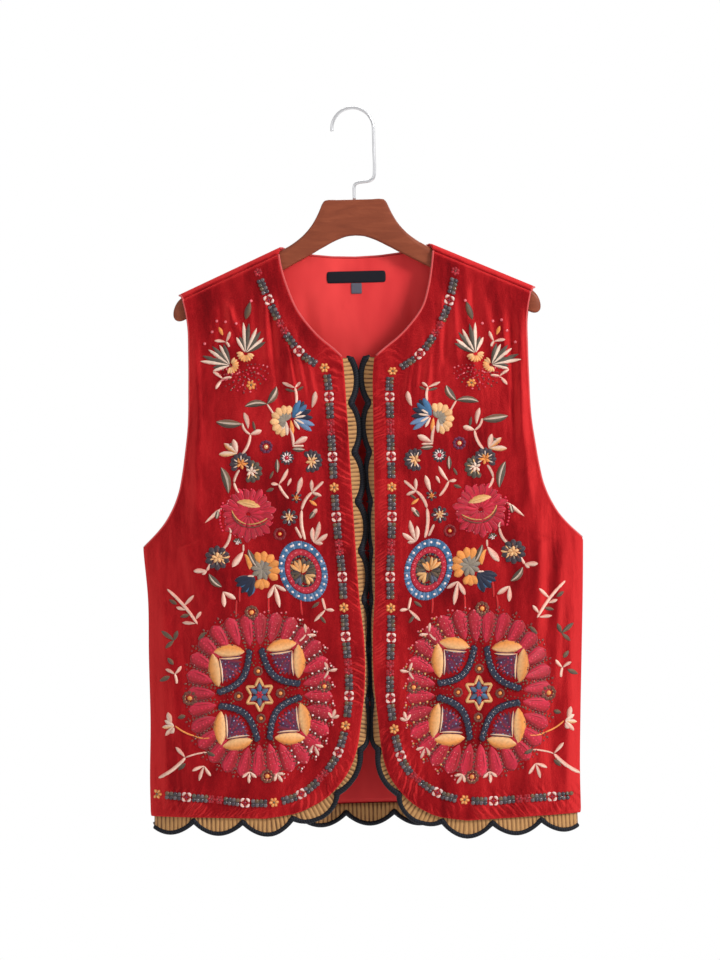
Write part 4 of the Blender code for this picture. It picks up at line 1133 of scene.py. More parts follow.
STITCHES, KNOTS = [], []
EVEN_BAND = -9.0
LOWEST_PAD, PAD_OF_WIDTH, HIGHEST_PAD = 0.45, 0.13, 1.5


def stitch(thread, start, end, width, bend=0.0, shape=0.0, other=None, height=None):
    """One band of thread: bend is its bow, shape moves its widest place from root (-1) to tip (1);
    a shape of None keeps one width. The thread called other is on the side it bows away from."""
    STITCHES.append((*start, *end, width, bend, EVEN_BAND if shape is None else shape,
                     height or min(LOWEST_PAD + PAD_OF_WIDTH * width, HIGHEST_PAD),
                     *linear(THREADS[thread]), *linear(THREADS[other or thread])))


def knot(thread, place, radius):
    """One knot or small bead."""
    KNOTS.append((*place, radius, *linear(THREADS[thread])))


def polar(centre, clock, radius):
    """The point at this distance from centre, where a clock's hand turned by clock degrees points."""
    turn = math.radians(clock)
    return centre[0] + radius * math.sin(turn), centre[1] - radius * math.cos(turn)


def clocks(count, first=0.0, sweep=360.0):
    """Evenly spaced clock angles; a whole turn doesn't repeat its first."""
    last = count if sweep == 360.0 else max(count - 1, 1)
    return [first + sweep * k / last for k in range(count)]


def petals(thread, centre, angles, inner, outer, width, shape=0.3, other=None, height=None):
    """Petals round a centre, one at each clock angle."""
    for clock in angles:
        stitch(thread, polar(centre, clock, inner), polar(centre, clock, outer), width, 0.0, shape, other,
               height)


def ring(thread, centre, radius, width, parts, share=1.05, first=0.0):
    """A ring of curved stitches, each covering this share of its part of the turn."""
    step = 360.0 / parts
    for clock in clocks(parts, first):
        half = step * share / 2
        bow = radius * (1.0 - math.cos(math.radians(half)))
        stitch(thread, polar(centre, clock - half, radius), polar(centre, clock + half, radius), width,
               -bow, None)


def knot_row(thread, start, end, count, radius, bend=0.0):
    """Knots along a bowed line."""
    along = np.array(end) - start
    away = np.array([-along[1], along[0]]) / (np.hypot(*along) + 1e-6)
    for share in np.linspace(0.0, 1.0, count):
        knot(thread, start + along * share + away * bend * 4.0 * share * (1.0 - share), radius)


# %% [markdown]
# Small motifs, each made of a few marks and set down at a place with a turn. A fork is a forked
# twig with a bud at each tip. A ring flower has a dark ring round a bright knot. A cup flower fans
# two-coloured petals out of an orange crescent.

# %% Small motifs
def fork(thread, place, turn, size, spread=48.0, stem=0.9):
    """A twig that forks at place: two arms either side of turn, and a stem the other way."""
    for clock in (turn - spread, turn + spread):
        stitch(thread, place, polar(place, clock, size), 3.6, size * 0.05, 0.6, "blush")
    if stem:
        stitch("blush", polar(place, turn + 180.0, size * stem), place, 2.8, 0.6, None, thread)


def arrow(thread, place, turn, size):
    """Three buds from one point."""
    for clock, share in ((turn - 52.0, 0.85), (turn, 1.1), (turn + 48.0, 0.9)):
        stitch(thread, place, polar(place, clock, size * share), 3.7, 0.4, 0.6, "blush")


def ring_flower(place, radius, outer="dark", inner="peach"):
    """A ring of short dark stitches round a bright knot."""
    petals(outer, place, clocks(9), radius * 0.45, radius, radius * 0.62, 0.5)
    knot(inner, place, radius * 0.34)


def daisy(place, radius, angles, outer="moss", middle="cream", core="peach"):
    """Dark-backed petals with a pale streak of uneven length in each, round a bright core."""
    petals(outer, place, angles, radius * 0.30, radius, radius * 0.48, 0.6)
    for k, clock in enumerate(angles):
        thread = (middle, "grey", middle, core)[k % 4]
        tip = polar(place, clock + 5.0, radius * (0.78, 0.62)[k % 2])
        stitch(thread, polar(place, clock, radius * 0.25), tip, radius * 0.17, 0.0, 0.5, height=1.5)
    petals(core, place, clocks(5, angles[0]), 0.0, radius * 0.48, radius * 0.28, 0.3, height=1.8)


def cup_flower(place, turn, size):
    """Petals fanned out of an orange crescent: pale ones with a dark one beside each."""
    for clock, share in ((-34.0, 0.74), (-8.0, 1.24), (20.0, 1.10), (46.0, 0.94)):
        root = polar(place, turn + clock, size * 0.04)
        stitch("moss", root, polar(place, turn + clock + 11.0, size * share * 0.97), size * 0.2, 0.0, 0.1)
        stitch("cream", root, polar(place, turn + clock, size * share), size * 0.17, 0.3, 0.4, height=1.3)
    for clock in clocks(9, -82.0, 164.0):
        stitch("orange" if abs(clock) < 50.0 else "peach", polar(place, turn + 180.0 + clock, size * 0.08),
               polar(place, turn + 180.0 + clock + 6.0, size * 0.36), size * 0.14, 0.0, 0.3, "peach", 1.4)


def lotus(place, turn, size, threads=("peach", "orange", "blush")):
    """Three petals opening like a lily."""
    for k, clock in enumerate((-40.0, 0.0, 38.0)):
        stitch(threads[k % len(threads)], place, polar(place, turn + clock, size * (1.0 - 0.1 * k)),
               size * 0.32, 0.0, 0.45, "cream")


# %% [markdown]
# The border is a repeat that runs both ways from a flower at the neck corner: orange flower, dark
# link, pale rosette, dark link, two small crimson flowers, and the links and rosette again. Its path
# is a smooth curve that stays about 19 mm inside the edge. PLACED gives the distance along it for
# each distance in the repeat, because round the hem's corner the repeat is a little shorter.

# %% The border
REPEAT = 124.0
PLACED = (-250.0, 248.0, 372.0, 496.0, 868.0), (-250.0, 248.0, 370.0, 486.0, 850.0)


def rosette(place, turn):
    """Four pale arcs round a dark cross."""
    for clock in clocks(4, turn + 45.0):
        stitch("white", polar(place, clock - 38.0, 4.1), polar(place, clock + 38.0, 4.1), 3.4, -1.0, 0.0,
               "blush", 1.1)
        stitch("crimson", place, polar(place, clock - 45.0, 4.4), 1.4, 0.0, None, height=0.7)
    knot("purple", place, 1.2)


def link(place, turn):
    """A dark padded bar with pairs of beads along it, of uneven greys, and a pale dot."""
    for k, way in enumerate((-6.3, -2.1, 2.1, 6.3)):
        middle = polar(place, turn, way)
        thread = ("smoke", "dark", "moss", "olive")[(k + int(place[1])) % 4]
        for side in (90.0, -90.0):
            knot(thread, polar(middle, turn + side, 2.1), 2.4)
            thread = ("dark", "smoke")[(k + int(place[1])) % 2]
    knot("white", polar(place, turn + 20.0, 2.0), 0.9)
    knot("grey", polar(place, turn + 190.0, 4.2), 0.9)
    stitch("dark", polar(place, turn, -8.2), polar(place, turn, 8.2), 6.4, 0.0, 0.0, "moss", 0.9)


def small_flower(place, turn, thread, core, size=4.6):
    """Six round petals and a core."""
    petals(thread, place, clocks(6, turn), 0.8, size, size * 0.66, 0.4)
    knot(core, place, size * 0.28)


def border():
    """Walks along the path and sets a motif down at each of its places in the repeat."""
    x, low, gone = BORDER["x"], BORDER["low"], BORDER_GONE
    corner = gone[8]
    order = ((0.0, "orange"), (0.125, "link"), (0.245, "rosette"), (0.36, "link"), (0.465, "crimson"),
             (0.535, "crimson"), (0.63, "link"), (0.745, "rosette"), (0.86, "link"))
    for turn_count in range(-2, 7):
        for share, kind in order:
            where = corner + float(np.interp((turn_count + share) * REPEAT, *PLACED))
            if not 0.0 < where < gone[-1] - 1.0:
                continue
            place = (float(smooth(where, gone, x)), float(smooth(where, gone, low)))
            ahead = (float(smooth(where + 2.0, gone, x)), float(smooth(where + 2.0, gone, low)))
            turn = math.degrees(math.atan2(ahead[0] - place[0], place[1] - ahead[1]))
            if kind == "orange" and place[1] > 200.0:
                small_flower(place, turn, "orange", "olive", 5.2)
                petals("peach", place, clocks(6, turn), 2.0, 4.4, 1.6, 0.3, height=1.5)
            elif kind == "rosette":
                rosette(place, turn)
            elif kind == "link":
                link(place, turn)
            else:
                small_flower(place, turn, "crimson", "maroon", 4.6)
                knot("pink", polar(place, turn + 40.0, 2.0), 0.9)


border()
EDGE_MARKS = len(STITCHES), len(KNOTS)
print("border:", EDGE_MARKS[0], "stitches,", EDGE_MARKS[1], "knots")

# %% [markdown]
# The chest. Stems, buds and leaves are listed with their two ends, a width and a bow; the flowers
# are set between them. Leaves are worked in two threads, one each side of the vein.

# %% Stems, buds and leaves
MARK_COLUMNS = "x low x_end low_end width bend"
CREAM_STEMS = table(MARK_COLUMNS, [
    (-87, 316, -95, 303, 1.8, 0), (-65, 303, -66, 287, 2.4, 1), (-122, 354, -113, 334, 2.6, 2),
    (-113, 334, -121, 322, 2.2, -2), (-69, 347, -72, 328, 2.6, 1), (-125, 395, -131, 383, 2.4, -1),
    (-131, 383, -125, 370, 2.4, -1), (-75, 401, -85, 386, 2.4, -1), (-59, 444, -62, 413, 3.0, -2),
    (-62, 413, -51, 395, 2.8, -2), (-51, 395, -39, 384, 2.6, 0), (-63, 442, -69, 430, 2.4, 0),
    (-145, 452, -136, 435, 2.6, 2), (-136, 435, -138, 428, 2.2, 1), (-58, 347, -70, 347, 2.0, 0),
    (-157, 466, -161, 473, 2.4, 0), (-203, 491, -172, 528, 2.8, -2), (-217, 686, -188, 665, 3.2, 2),
    (-188, 665, -165, 660, 1.5, -1), (-43, 504, -40, 516, 2.2, 0), (-123, 454, -123, 447, 1.8, 0),
])
CREAM_BUDS = table(MARK_COLUMNS, [
    (-66, 287, -79, 281, 2.9, 0), (-66, 287, -60, 281, 2.7, 0), (-49, 308, -45, 291, 4.6, 1),
    (-115, 328, -119, 311, 4.2, 1), (-113, 334, -101, 330, 4.6, 0), (-68, 345, -54, 338, 5.2, 0),
    (-85, 386, -75, 370, 3.2, 1), (-85, 386, -93, 385, 3.0, 0), (-76, 388, -72, 380, 2.6, 0),
    (-66, 397, -61, 379, 4.4, 0), (-51, 395, -51, 382, 3.2, 0), (-52, 395, -41, 399, 3.2, 0),
    (-52, 419, -46, 412, 3.6, 0), (-50, 447, -51, 431, 4.0, -1), (-50, 447, -44, 425, 4.2, 1),
    (-50, 447, -36, 438, 4.2, 1), (-50, 447, -41, 448, 3.4, 0), (-162, 424, -144, 409, 3.2, 0),
    (-161, 473, -175, 473, 4.2, 0), (-161, 473, -166, 477, 3.0, 0), (-145, 495, -144, 511, 4.0, 0),
    (-145, 495, -132, 503, 4.2, 0), (-123, 454, -135, 470, 5.6, 0), (-92, 489, -99, 503, 4.0, 0),
    (-92, 489, -87, 513, 4.0, 0), (-92, 489, -80, 496, 3.4, 0), (-40, 516, -52, 528, 3.0, 0),
    (-40, 516, -31, 517, 3.0, 0), (-186, 509, -175, 498, 3.0, 0), (-184, 513, -194, 510, 3.0, 0),
    (-174, 523, -168, 515, 3.0, 0), (-174, 527, -188, 526, 3.0, 0), (-188, 665, -198, 654, 3.2, 0),
    (-202, 632, -205, 618, 4.6, 0), (-199, 634, -203, 640, 4.4, 0),
])
LEAVES = table(MARK_COLUMNS, [
    (-95, 303, -85, 285, 5.6, 2), (-95, 303, -118, 305, 5.0, 2), (-121, 323, -148, 320, 6.0, -1),
    (-137, 394, -144, 367, 6.0, 2), (-86, 374, -86, 360, 3.4, 0), (-57, 351, -70, 350, 3.8, 0),
    (-54, 422, -48, 414, 3.6, 0), (-159, 476, -146, 490, 5.0, 2), (-150, 420, -148, 411, 4.4, 0),
    (-118, 452, -109, 471, 5.0, 1),
])
OLIVE_LEAVES = table(MARK_COLUMNS, [
    (-110, 197, -115, 215, 5.6, 0), (-66, 291, -76, 288, 2.6, 0), (-64, 290, -57, 286, 2.4, 0),
    (-110, 320, -108, 330, 2.6, 0), (-54, 514, -46, 508, 3.0, 0), (-201, 502, -193, 507, 3.4, 0),
    (-190, 520, -180, 518, 3.4, 0), (-197, 544, -210, 534, 4.0, 0), (-197, 544, -193, 534, 4.0, 0),
    (-197, 544, -206, 552, 3.6, 0), (-204, 562, -198, 569, 4.0, 0), (-213, 586, -202, 581, 4.2, 0),
    (-195, 624, -187, 622, 4.0, 0), (-166, 660, -157, 664, 4.4, 0), (-196, 678, -188, 671, 3.6, 0),
    (-172, 544, -164, 536, 3.6, 0), (-46, 522, -40, 530, 2.8, 0), (-52, 404, -44, 398, 2.2, 0),
    (-138, 349, -132, 342, 3.0, 0), (-98, 393, -90, 390, 3.2, 0), (-90, 372, -94, 380, 2.4, 0),
])
for rows, thread, other, shape, wider in (
        (CREAM_STEMS, "blush", "cream", None, 1.2), (CREAM_BUDS, "cream", "blush", 0.5, 1.25),
        (LEAVES, "moss", "olive", 0.1, 1.5), (OLIVE_LEAVES, "olive", "moss", 0.2, 1.2)):
    for x, low, x_end, low_end, width, bend in zip(*rows.values()):
        stitch(thread, (x, low), (x_end, low_end), width * wider, bend, shape, other)
for x, low, x_end, low_end, width, bend in zip(*LEAVES.values()):
    stitch("cream", (x, low), (x_end, low_end), width * 0.72, bend + 0.6, 0.1, "grey", 1.7)
print("stems, buds and leaves:", len(STITCHES) - EDGE_MARKS[0])

# %% [markdown]
# Flowers of the shoulder and chest come next: two cup flowers over a patch of fine tone-on-tone
# knots, a grey and peach flower with a blue wing, and daisies down the front.

# %% Flowers of the shoulder and chest
fork("cream", (-136, 238), 330, 12, 52, 0.5)
fork("cream", (-140, 276), 262, 13, 45, 0.7)
cup_flower((-116, 250), 5, 26)
cup_flower((-132, 262), 287, 25.5)
for place in ((-145, 216), (-136, 217), (-125, 219), (-150, 227), (-158, 239), (-109, 196)):
    knot("pink", place, 1.6)
stitch("orange", (-143, 222), (-139, 231), 4.0, 0.0, 0.0)
for radius, count in ((5.0, 8), (9.0, 12), (13.0, 15), (17.0, 18), (21.0, 20), (25.0, 20)):
    for k, clock in enumerate(clocks(count, 66.0 + radius, 186.0)):
        place = polar((-119, 264), clock + 5.0 * (k % 3), radius + 1.8 * (k % 2))
        thread = ("crimson", "maroon", "rose", "brown", "crimson", "maroon", "pink")[(k + count) % 7]
        knot(thread, place, 1.1)
small_flower((-111, 283), 20, "orange", "olive", 5.2)

GREY_FLOWER = (-76, 321)
petals("peach", GREY_FLOWER, [238, 268, 298, 326, 352, 16], 6.0, 16.5, 8.0, 0.5)
petals("grey", GREY_FLOWER, [240, 275, 305, 335, 5, 35, 210], 0.0, 9.5, 5.0, 0.4)
petals("peach", GREY_FLOWER, [196, 218], 6.0, 17.0, 7.0, 0.5)
petals("cream", GREY_FLOWER, [176, 205], 0.0, 15.0, 4.6, 0.3)
petals("orange", (-71, 320), [172], 0.0, 15.0, 4.4, 0.3)
WING = (-69, 318)
petals("blue", WING, [24, 48], 0.0, 20.0, 8.0, 0.3)
petals("navy", WING, [36, 68, 90], 4.0, 21.0, 5.6, 0.5)
petals("pale_blue", WING, [110, 126], 3.0, 24.0, 6.0, 0.4)
petals("cream", WING, [56, 82, 118, 150], 2.0, 14.0, 3.4, 0.4, height=1.6)

lotus((-127, 353), 308, 19)
petals("olive", (-127, 353), [350], 0.0, 12.0, 3.6, 0.4)
daisy((-123, 364), 12, clocks(9, 240, 230), "dark", "cream", "orange")
daisy((-113, 372), 12, clocks(7, 10, 190), "moss", "peach", "cream")
ring_flower((-97, 347), 7.0, "purple", "peach")
petals("dark", (-76, 359), clocks(11), 3.0, 7.6, 3.0, 0.4)
petals("white", (-76, 359), clocks(10, 15), 2.0, 5.8, 2.4, 0.3)
knot("rose", (-76, 359), 1.8)
daisy((-51, 363), 12, clocks(9, 330, 230), "dark", "cream", "peach")
daisy((-67, 400), 6, clocks(6), "dark", "blush", "orange")
stitch("orange", (-54, 403), (-46, 409), 3.6, 0.0, 0.2)
daisy((-75, 420), 9, clocks(8), "dark", "white", "peach")
ring("maroon", (-85, 437), 5.2, 2.6, 8)
knot("orange", (-85, 437), 1.9)
daisy((-129, 445), 5, clocks(5, 300, 150), "moss", "white", "white")

# %% [markdown]
# The big crimson flower is worked tone on tone: three rows of overlapping petals in two reds, with
# a pale lens above its heart and a thin gold bow below. Below it hang a dark flower with a peach
# star, and an orange and grey bloom with a navy cup.

# %% Large flowers
ROSE = (-117, 416)
for k, clock in enumerate(clocks(21, 8)):
    stitch("crimson", polar(ROSE, clock, 10.0), polar(ROSE, clock + 4.0, 26.5 + 3.0 * (k % 3 == 1)),
           8.8, 0.6, 0.55, "rose", 0.8)
    stitch("maroon", polar(ROSE, clock + 9.0, 15.0), polar(ROSE, clock + 9.0, 25.0), 1.1, 0.4, 0.0,
           height=1.0)
    knot(("pink", "rose", "crimson")[k % 3], polar(ROSE, clock + 5.0, 20.0 + 2.5 * (k % 3)), 1.1)
    knot(("rose", "pink")[k % 2], polar(ROSE, clock, 26.0 - 2.0 * (k % 2)), 1.0)
for k, clock in enumerate(clocks(15)):
    stitch("rose", polar(ROSE, clock, 2.0), polar(ROSE, clock + 9.0, 16.0 + 2.0 * (k % 2)), 6.2, 1.0, 0.5,
           "crimson", 1.1)
    knot(("crimson", "pink", "maroon")[k % 3], polar(ROSE, clock + 6.0, 11.0 + 2.0 * (k % 2)), 1.1)
stitch("gold", (-129, 403), (-104, 409), 10.0, -1.0, 0.0, "peach", 2.0)
stitch("peach", (-125, 404), (-107, 408), 3.0, -0.8, 0.0, "gold", 2.4)
for thread, low in (("gold", 0.0), ("brown", 3.2)):
    stitch(thread, (-134, 411 + low), (-119, 426 + low), 1.8, 3.0, None, height=1.7)
    stitch(thread, (-119, 426 + low), (-97, 420 + low), 1.8, 2.4, None, height=1.7)
knot_row("maroon", (-131, 420), (-101, 427), 13, 1.2, -5.0)
knot_row("rose", (-143, 404), (-144, 432), 9, 1.4, 3.0)
for x_end, low_end in ((-132, 521), (-98, 519), (-64, 521), (-128, 506)):
    stitch("scarlet", (x_end * 0.97 - 3.0, low_end - 17), (x_end, low_end), 2.0, 0.5, None)

daisy((-150, 460), 13, clocks(10), "dark", "brown", "peach")
petals("peach", (-145, 461), [20, 75, 115, 165, 260, 320], 0.0, 8.5, 3.4, 0.2)

BLOOM = (-104, 473)
petals("orange", BLOOM, [342, 8, 38, 68, 96, 124], 6.0, 19.0, 9.0, 0.5)
petals("grey", BLOOM, clocks(9), 0.0, 12.0, 6.0, 0.5)
petals("slate", BLOOM, clocks(6, 20), 0.0, 8.0, 4.0, 0.4)
petals("orange", (-105, 481), [150, 180, 210], 2.0, 13.0, 8.0, 0.5)
petals("peach", (-105, 481), [172, 195], 3.0, 10.0, 4.0, 0.5)
stitch("orange", (-122, 457), (-117, 473), 6.4, -2.5, 0.3)
CUP = (-112, 481)
petals("navy", CUP, [198, 222, 246, 262], 0.0, 21.0, 8.0, 0.5)
petals("blue", CUP, [190, 212, 236], 3.0, 18.0, 5.0, 0.5)
petals("white", CUP, [230, 255], 8.0, 15.0, 3.2, 0.4)
stitch("cream", (-112, 479), (-122, 481), 4.0, -0.5, 0.2)

# %% [markdown]
# The blue medallion is a set of oval rings, each a row of short stitches or knots at even steps of
# one ellipse, with a small tulip in the middle.

# %% Oval medallion
OVAL = (-62.0, 476.0)
OVAL_TURN = math.radians(-20.0)


def oval(share, clock):
    """A point on the medallion's ellipse, shrunk to share of it."""
    across, down = 24.4 * share * math.sin(math.radians(clock)), -32.4 * share * math.cos(math.radians(clock))
    return (OVAL[0] + across * math.cos(OVAL_TURN) - down * math.sin(OVAL_TURN),
            OVAL[1] + across * math.sin(OVAL_TURN) + down * math.cos(OVAL_TURN))


for k, clock in enumerate(clocks(64)):
    stitch(("pale_blue", "blue")[k % 2] if 60 < clock < 210 else ("blue", "pale_blue")[k % 4 == 0],
           oval(0.74, clock), oval(1.0, clock), 3.3, 0.0, None)
    stitch("rose", oval(0.52, clock), oval(0.73, clock), 2.6, 0.0, None, "crimson")
    if k % 3 == 0:
        knot("white", oval(0.88, clock), 1.7)
        knot("pink", oval(0.63, clock + 3.0), 1.3)
for k, clock in enumerate(clocks(26, 4.0)):
    knot(("navy", "olive")[k % 2], oval(0.49, clock), 1.5)
petals("moss", OVAL, clocks(11), 3.0, 14.0, 6.0, 0.5, "olive")
petals("dark", OVAL, clocks(7, 12), 3.0, 12.0, 3.0, 0.5, height=1.6)
petals("peach", (OVAL[0] - 2, OVAL[1] + 1), [306, 330, 352], 0.0, 14.0, 5.0, 0.5, "orange", 2.0)
petals("orange", (OVAL[0] - 1, OVAL[1] + 2), [16, 40], 0.0, 11.5, 4.6, 0.5, "peach", 2.0)
petals("peach", (OVAL[0] + 2, OVAL[1] + 4), [96, 128, 158], 0.0, 11.0, 5.0, 0.5, "gold", 2.0)
petals("slate", (OVAL[0] - 3, OVAL[1] + 5), [215, 184], 0.0, 10.0, 4.6, 0.5, None, 1.8)

# %% [markdown]
# The large medallion at the hem is built on its axes: a six-pointed star, four corner motifs that
# are one drawing turned by quarter turns, and a wreath of 28 petals with rows of knots between. Its
# own clock is turned a little, and it is drawn slightly taller than wide. The corner motifs are
# drawn a little smaller, by MOTIF_WIDE and MOTIF_TALL, to leave the wreath its room.

# %% Large medallion
WHEEL = (-110.0, 602.0)
WHEEL_TURN, WHEEL_WIDE, WHEEL_TALL = -4.3, 0.92, 1.035
MOTIF_WIDE, MOTIF_TALL = 0.94, 0.925
PETAL_COUNT = 28


def wheel(clock, radius):
    """A point of the medallion by its own clock."""
    turn = math.radians(clock + WHEEL_TURN)
    return WHEEL[0] + WHEEL_WIDE * radius * math.sin(turn), WHEEL[1] - WHEEL_TALL * radius * math.cos(turn)


def corner_motif(turn):
    """Two satin lenses that meet in a corner, a beaded bow across it and fine filling between."""
    def at(across, out):
        """A point of the motif, out along its axis and across it, drawn in towards the star."""
        x, low = wheel(turn + math.degrees(math.atan2(across, out)), math.hypot(across, out))
        return WHEEL[0] + (x - WHEEL[0]) * MOTIF_WIDE, WHEEL[1] + (low - WHEEL[1]) * MOTIF_TALL

    for k in range(9):
        share = (k + 0.5) / 9
        bow = 7.0 * math.sin(math.pi * share)
        stitch(("plum", "maroon", "purple")[k % 3], at(43, 43),
               at(16 + 29 * share - bow, 45 - 29 * share - bow), 6.4, 0.0, 0.3, "purple", 0.7)
    for k in range(7):
        for row in range(7 - k):
            knot(("slate", "rose", "plum", "crimson", "pale_blue")[(2 * k + 3 * row) % 5],
                 at(20 + 3.9 * row + 1.4 * k, 41 - 4.0 * k), 1.15)
    for way, back in (((13, 47.5), (50, 51)), ((51, 50), (47.5, 13))):
        stitch("orange", at(*way), at(*back), 14.5, -1.0, 0.0, "peach", 1.7)
    stitch("peach", at(16, 42.5), at(44, 43.5), 2.4, 0.8, 0.0, "cream", 1.6)
    stitch("peach", at(43.5, 44), at(42.5, 16), 2.4, 0.8, 0.0, "cream", 1.6)
    for k in range(9):
        knot("gold", at(17.5 + 3.6 * k, 49.5), 0.8)
        knot("gold", at(49.5, 17.5 + 3.6 * k), 0.8)
    for k, share in enumerate(np.linspace(0.0, 1.0, 15)):
        bow = 8.0 * math.sin(math.pi * share)
        across, out = 7.0 + 39.0 * share - bow, 46.0 - 39.0 * share - bow
        knot("navy", at(across, out), 3.3)
        knot("navy", at(across + 1.4, out + 1.4), 3.0)
        if k % 2:
            stitch("white", at(across - 0.9, out - 0.9), at(across + 0.9, out + 0.9), 1.8, 0.0, 0.0,
                   "grey", 3.0)


for turn in (0.0, 90.0, 180.0, 270.0):
    corner_motif(turn)

for clock in clocks(6, 4.0):
    tip, left, right = wheel(clock, 17.0), wheel(clock - 30, 9.4), wheel(clock + 30, 9.4)
    stitch("gold", left, tip, 3.0, 0.0, None, "peach")
    stitch("gold", tip, right, 3.0, 0.0, None, "peach")
    stitch("slate", WHEEL, wheel(clock, 11.5), 6.0, 0.0, -0.2, "blue")
    stitch("navy", WHEEL, wheel(clock + 30.0, 7.6), 4.6, 0.0, 0.0)
    stitch("crimson", WHEEL, wheel(clock + 30.0, 4.4), 3.0, 0.0, 0.2, "rose", 2.2)
knot("purple", WHEEL, 1.6)
for clock in (2, 92, 182, 272):
    place = wheel(clock, 23.5)
    ring("brown", place, 3.7, 2.5, 7)
    knot("orange", place, 2.1)
    for side in (-1.0, 1.0):
        knot_row("olive", wheel(clock + side * 9.0, 30.0), wheel(clock + side * 14.0, 54.0), 9, 1.1,
                 side * 1.5)
        knot_row("brown", wheel(clock + side * 4.0, 32.0), wheel(clock + side * 5.0, 52.0), 6, 0.8)

for clock in clocks(PETAL_COUNT, 6.4):
    corner = abs(math.sin(math.radians(2.0 * clock)))
    inner, outer = 47.0 + 11.0 * corner, 80.0 + 7.0 * corner
    bright = clock < 180.0
    red, other = ("rose", "crimson") if bright else ("crimson", "rose")
    stitch(red, wheel(clock, inner), wheel(clock, outer), 17.0, 0.0, 0.8, other, 0.6)
    for side in (-1.0, 1.0):
        stitch("maroon", wheel(clock + side * 2.2, inner + 6), wheel(clock + side * 3.2, outer - 7), 1.2,
               0.5 * side, 0.0, "crimson", 1.0)
        knot_row("pink" if bright else "rose", wheel(clock + side * 1.6, inner + 9),
                 wheel(clock + side * 2.4, outer - 5), 4, 0.9)
    knot_row(other, wheel(clock, inner + 8), wheel(clock, outer - 3), 6, 1.2)
    between = clock + 180.0 / PETAL_COUNT
    knot_row("brown", wheel(between, inner + 1), wheel(between, outer + 2), 9, 1.2)
    knot_row("maroon", wheel(between + 1.6, inner + 6), wheel(between + 1.6, outer - 1), 6, 1.1)
    if 30 < clock < 160:
        knot_row("white", wheel(between - 1.2, inner + 9), wheel(between - 1.4, outer + 1), 4, 1.15)
        knot_row("blush", wheel(clock, inner + 14), wheel(clock, outer - 2), 3, 0.9)
    knot_row("pink" if bright else "maroon", wheel(clock, outer - 1), wheel(between, outer + 3), 3, 1.1)

# %% [markdown]
# What lies loose about the medallion closes the chart: forked twigs, small ring flowers, a lily.

# %% Twigs and ring flowers about the medallion
for place, radius in (((-116, 517), 7.5), ((-182, 604), 8.0), ((-43, 595), 7.0), ((-104, 686), 7.5)):
    ring_flower(place, radius, "brown", "orange")
    ring("peach", place, radius * 0.62, 0.9, 8)
for place, turn, size in (((-197, 579), 350, 11), ((-61, 541), 45, 11), ((-39, 579), 30, 10)):
    fork("cream", place, turn, size, 50, 0.9)
for place, turn, size in (((-169, 674), 200, 15), ((-122, 681), 185, 11), ((-94, 683), 150, 10),
                          ((-55, 654), 160, 12), ((-36, 628), 20, 9)):
    arrow("cream", place, turn, size)
lotus((-199, 632), 262, 14, ("blush", "peach", "cream"))
stitch("orange", (-162, 645), (-178, 643), 1.7, -1.5, None)
stitch("orange", (-178, 643), (-198, 632), 1.7, -1.5, None)
print("all marks:", len(STITCHES), "stitches,", len(KNOTS), "knots for each front")

# %% [markdown]
# The chart goes onto the cloth. A stitch is a ring of points carried along a bowed line, low and
# flat like padded satin stitch; a knot is a low dome. Each point is looked up on the cloth's face
# and lifted off it, so the thread follows every crease. Colours go into an attribute, a little
# lighter or darker from mark to mark, and the UV map counts millimetres along and across for the
# thread's ribs. Border marks past the side seam are left out, and on the right front the pale dots
# of the large medallion are gold.

# %% Build the embroidery
RING_SIDES, RING_STEPS = 6, 7
KNOT_SIDES, KNOT_RISE, KNOT_FOOT = 7, 0.75, -0.3
KNOT_LEVELS = np.array([(0.75, -0.3), (1.0, 0.15), (0.8, 0.62), (0.42, 0.88)])
SEAM_AT = {-1: -222.0, 1: -208.0}
DOTS_BELOW, PALE = 516.0, linear(200)


def on_cloth(side, x, low, height, edge):
    """Chart millimetres and a height above the cloth, as points in space."""
    if side > 0:
        x, low = mirrored(x, low, edge)
    x, low = x * MM, low * MM
    return layer(q_at(x, low), t_at(x, low), -height * MM)


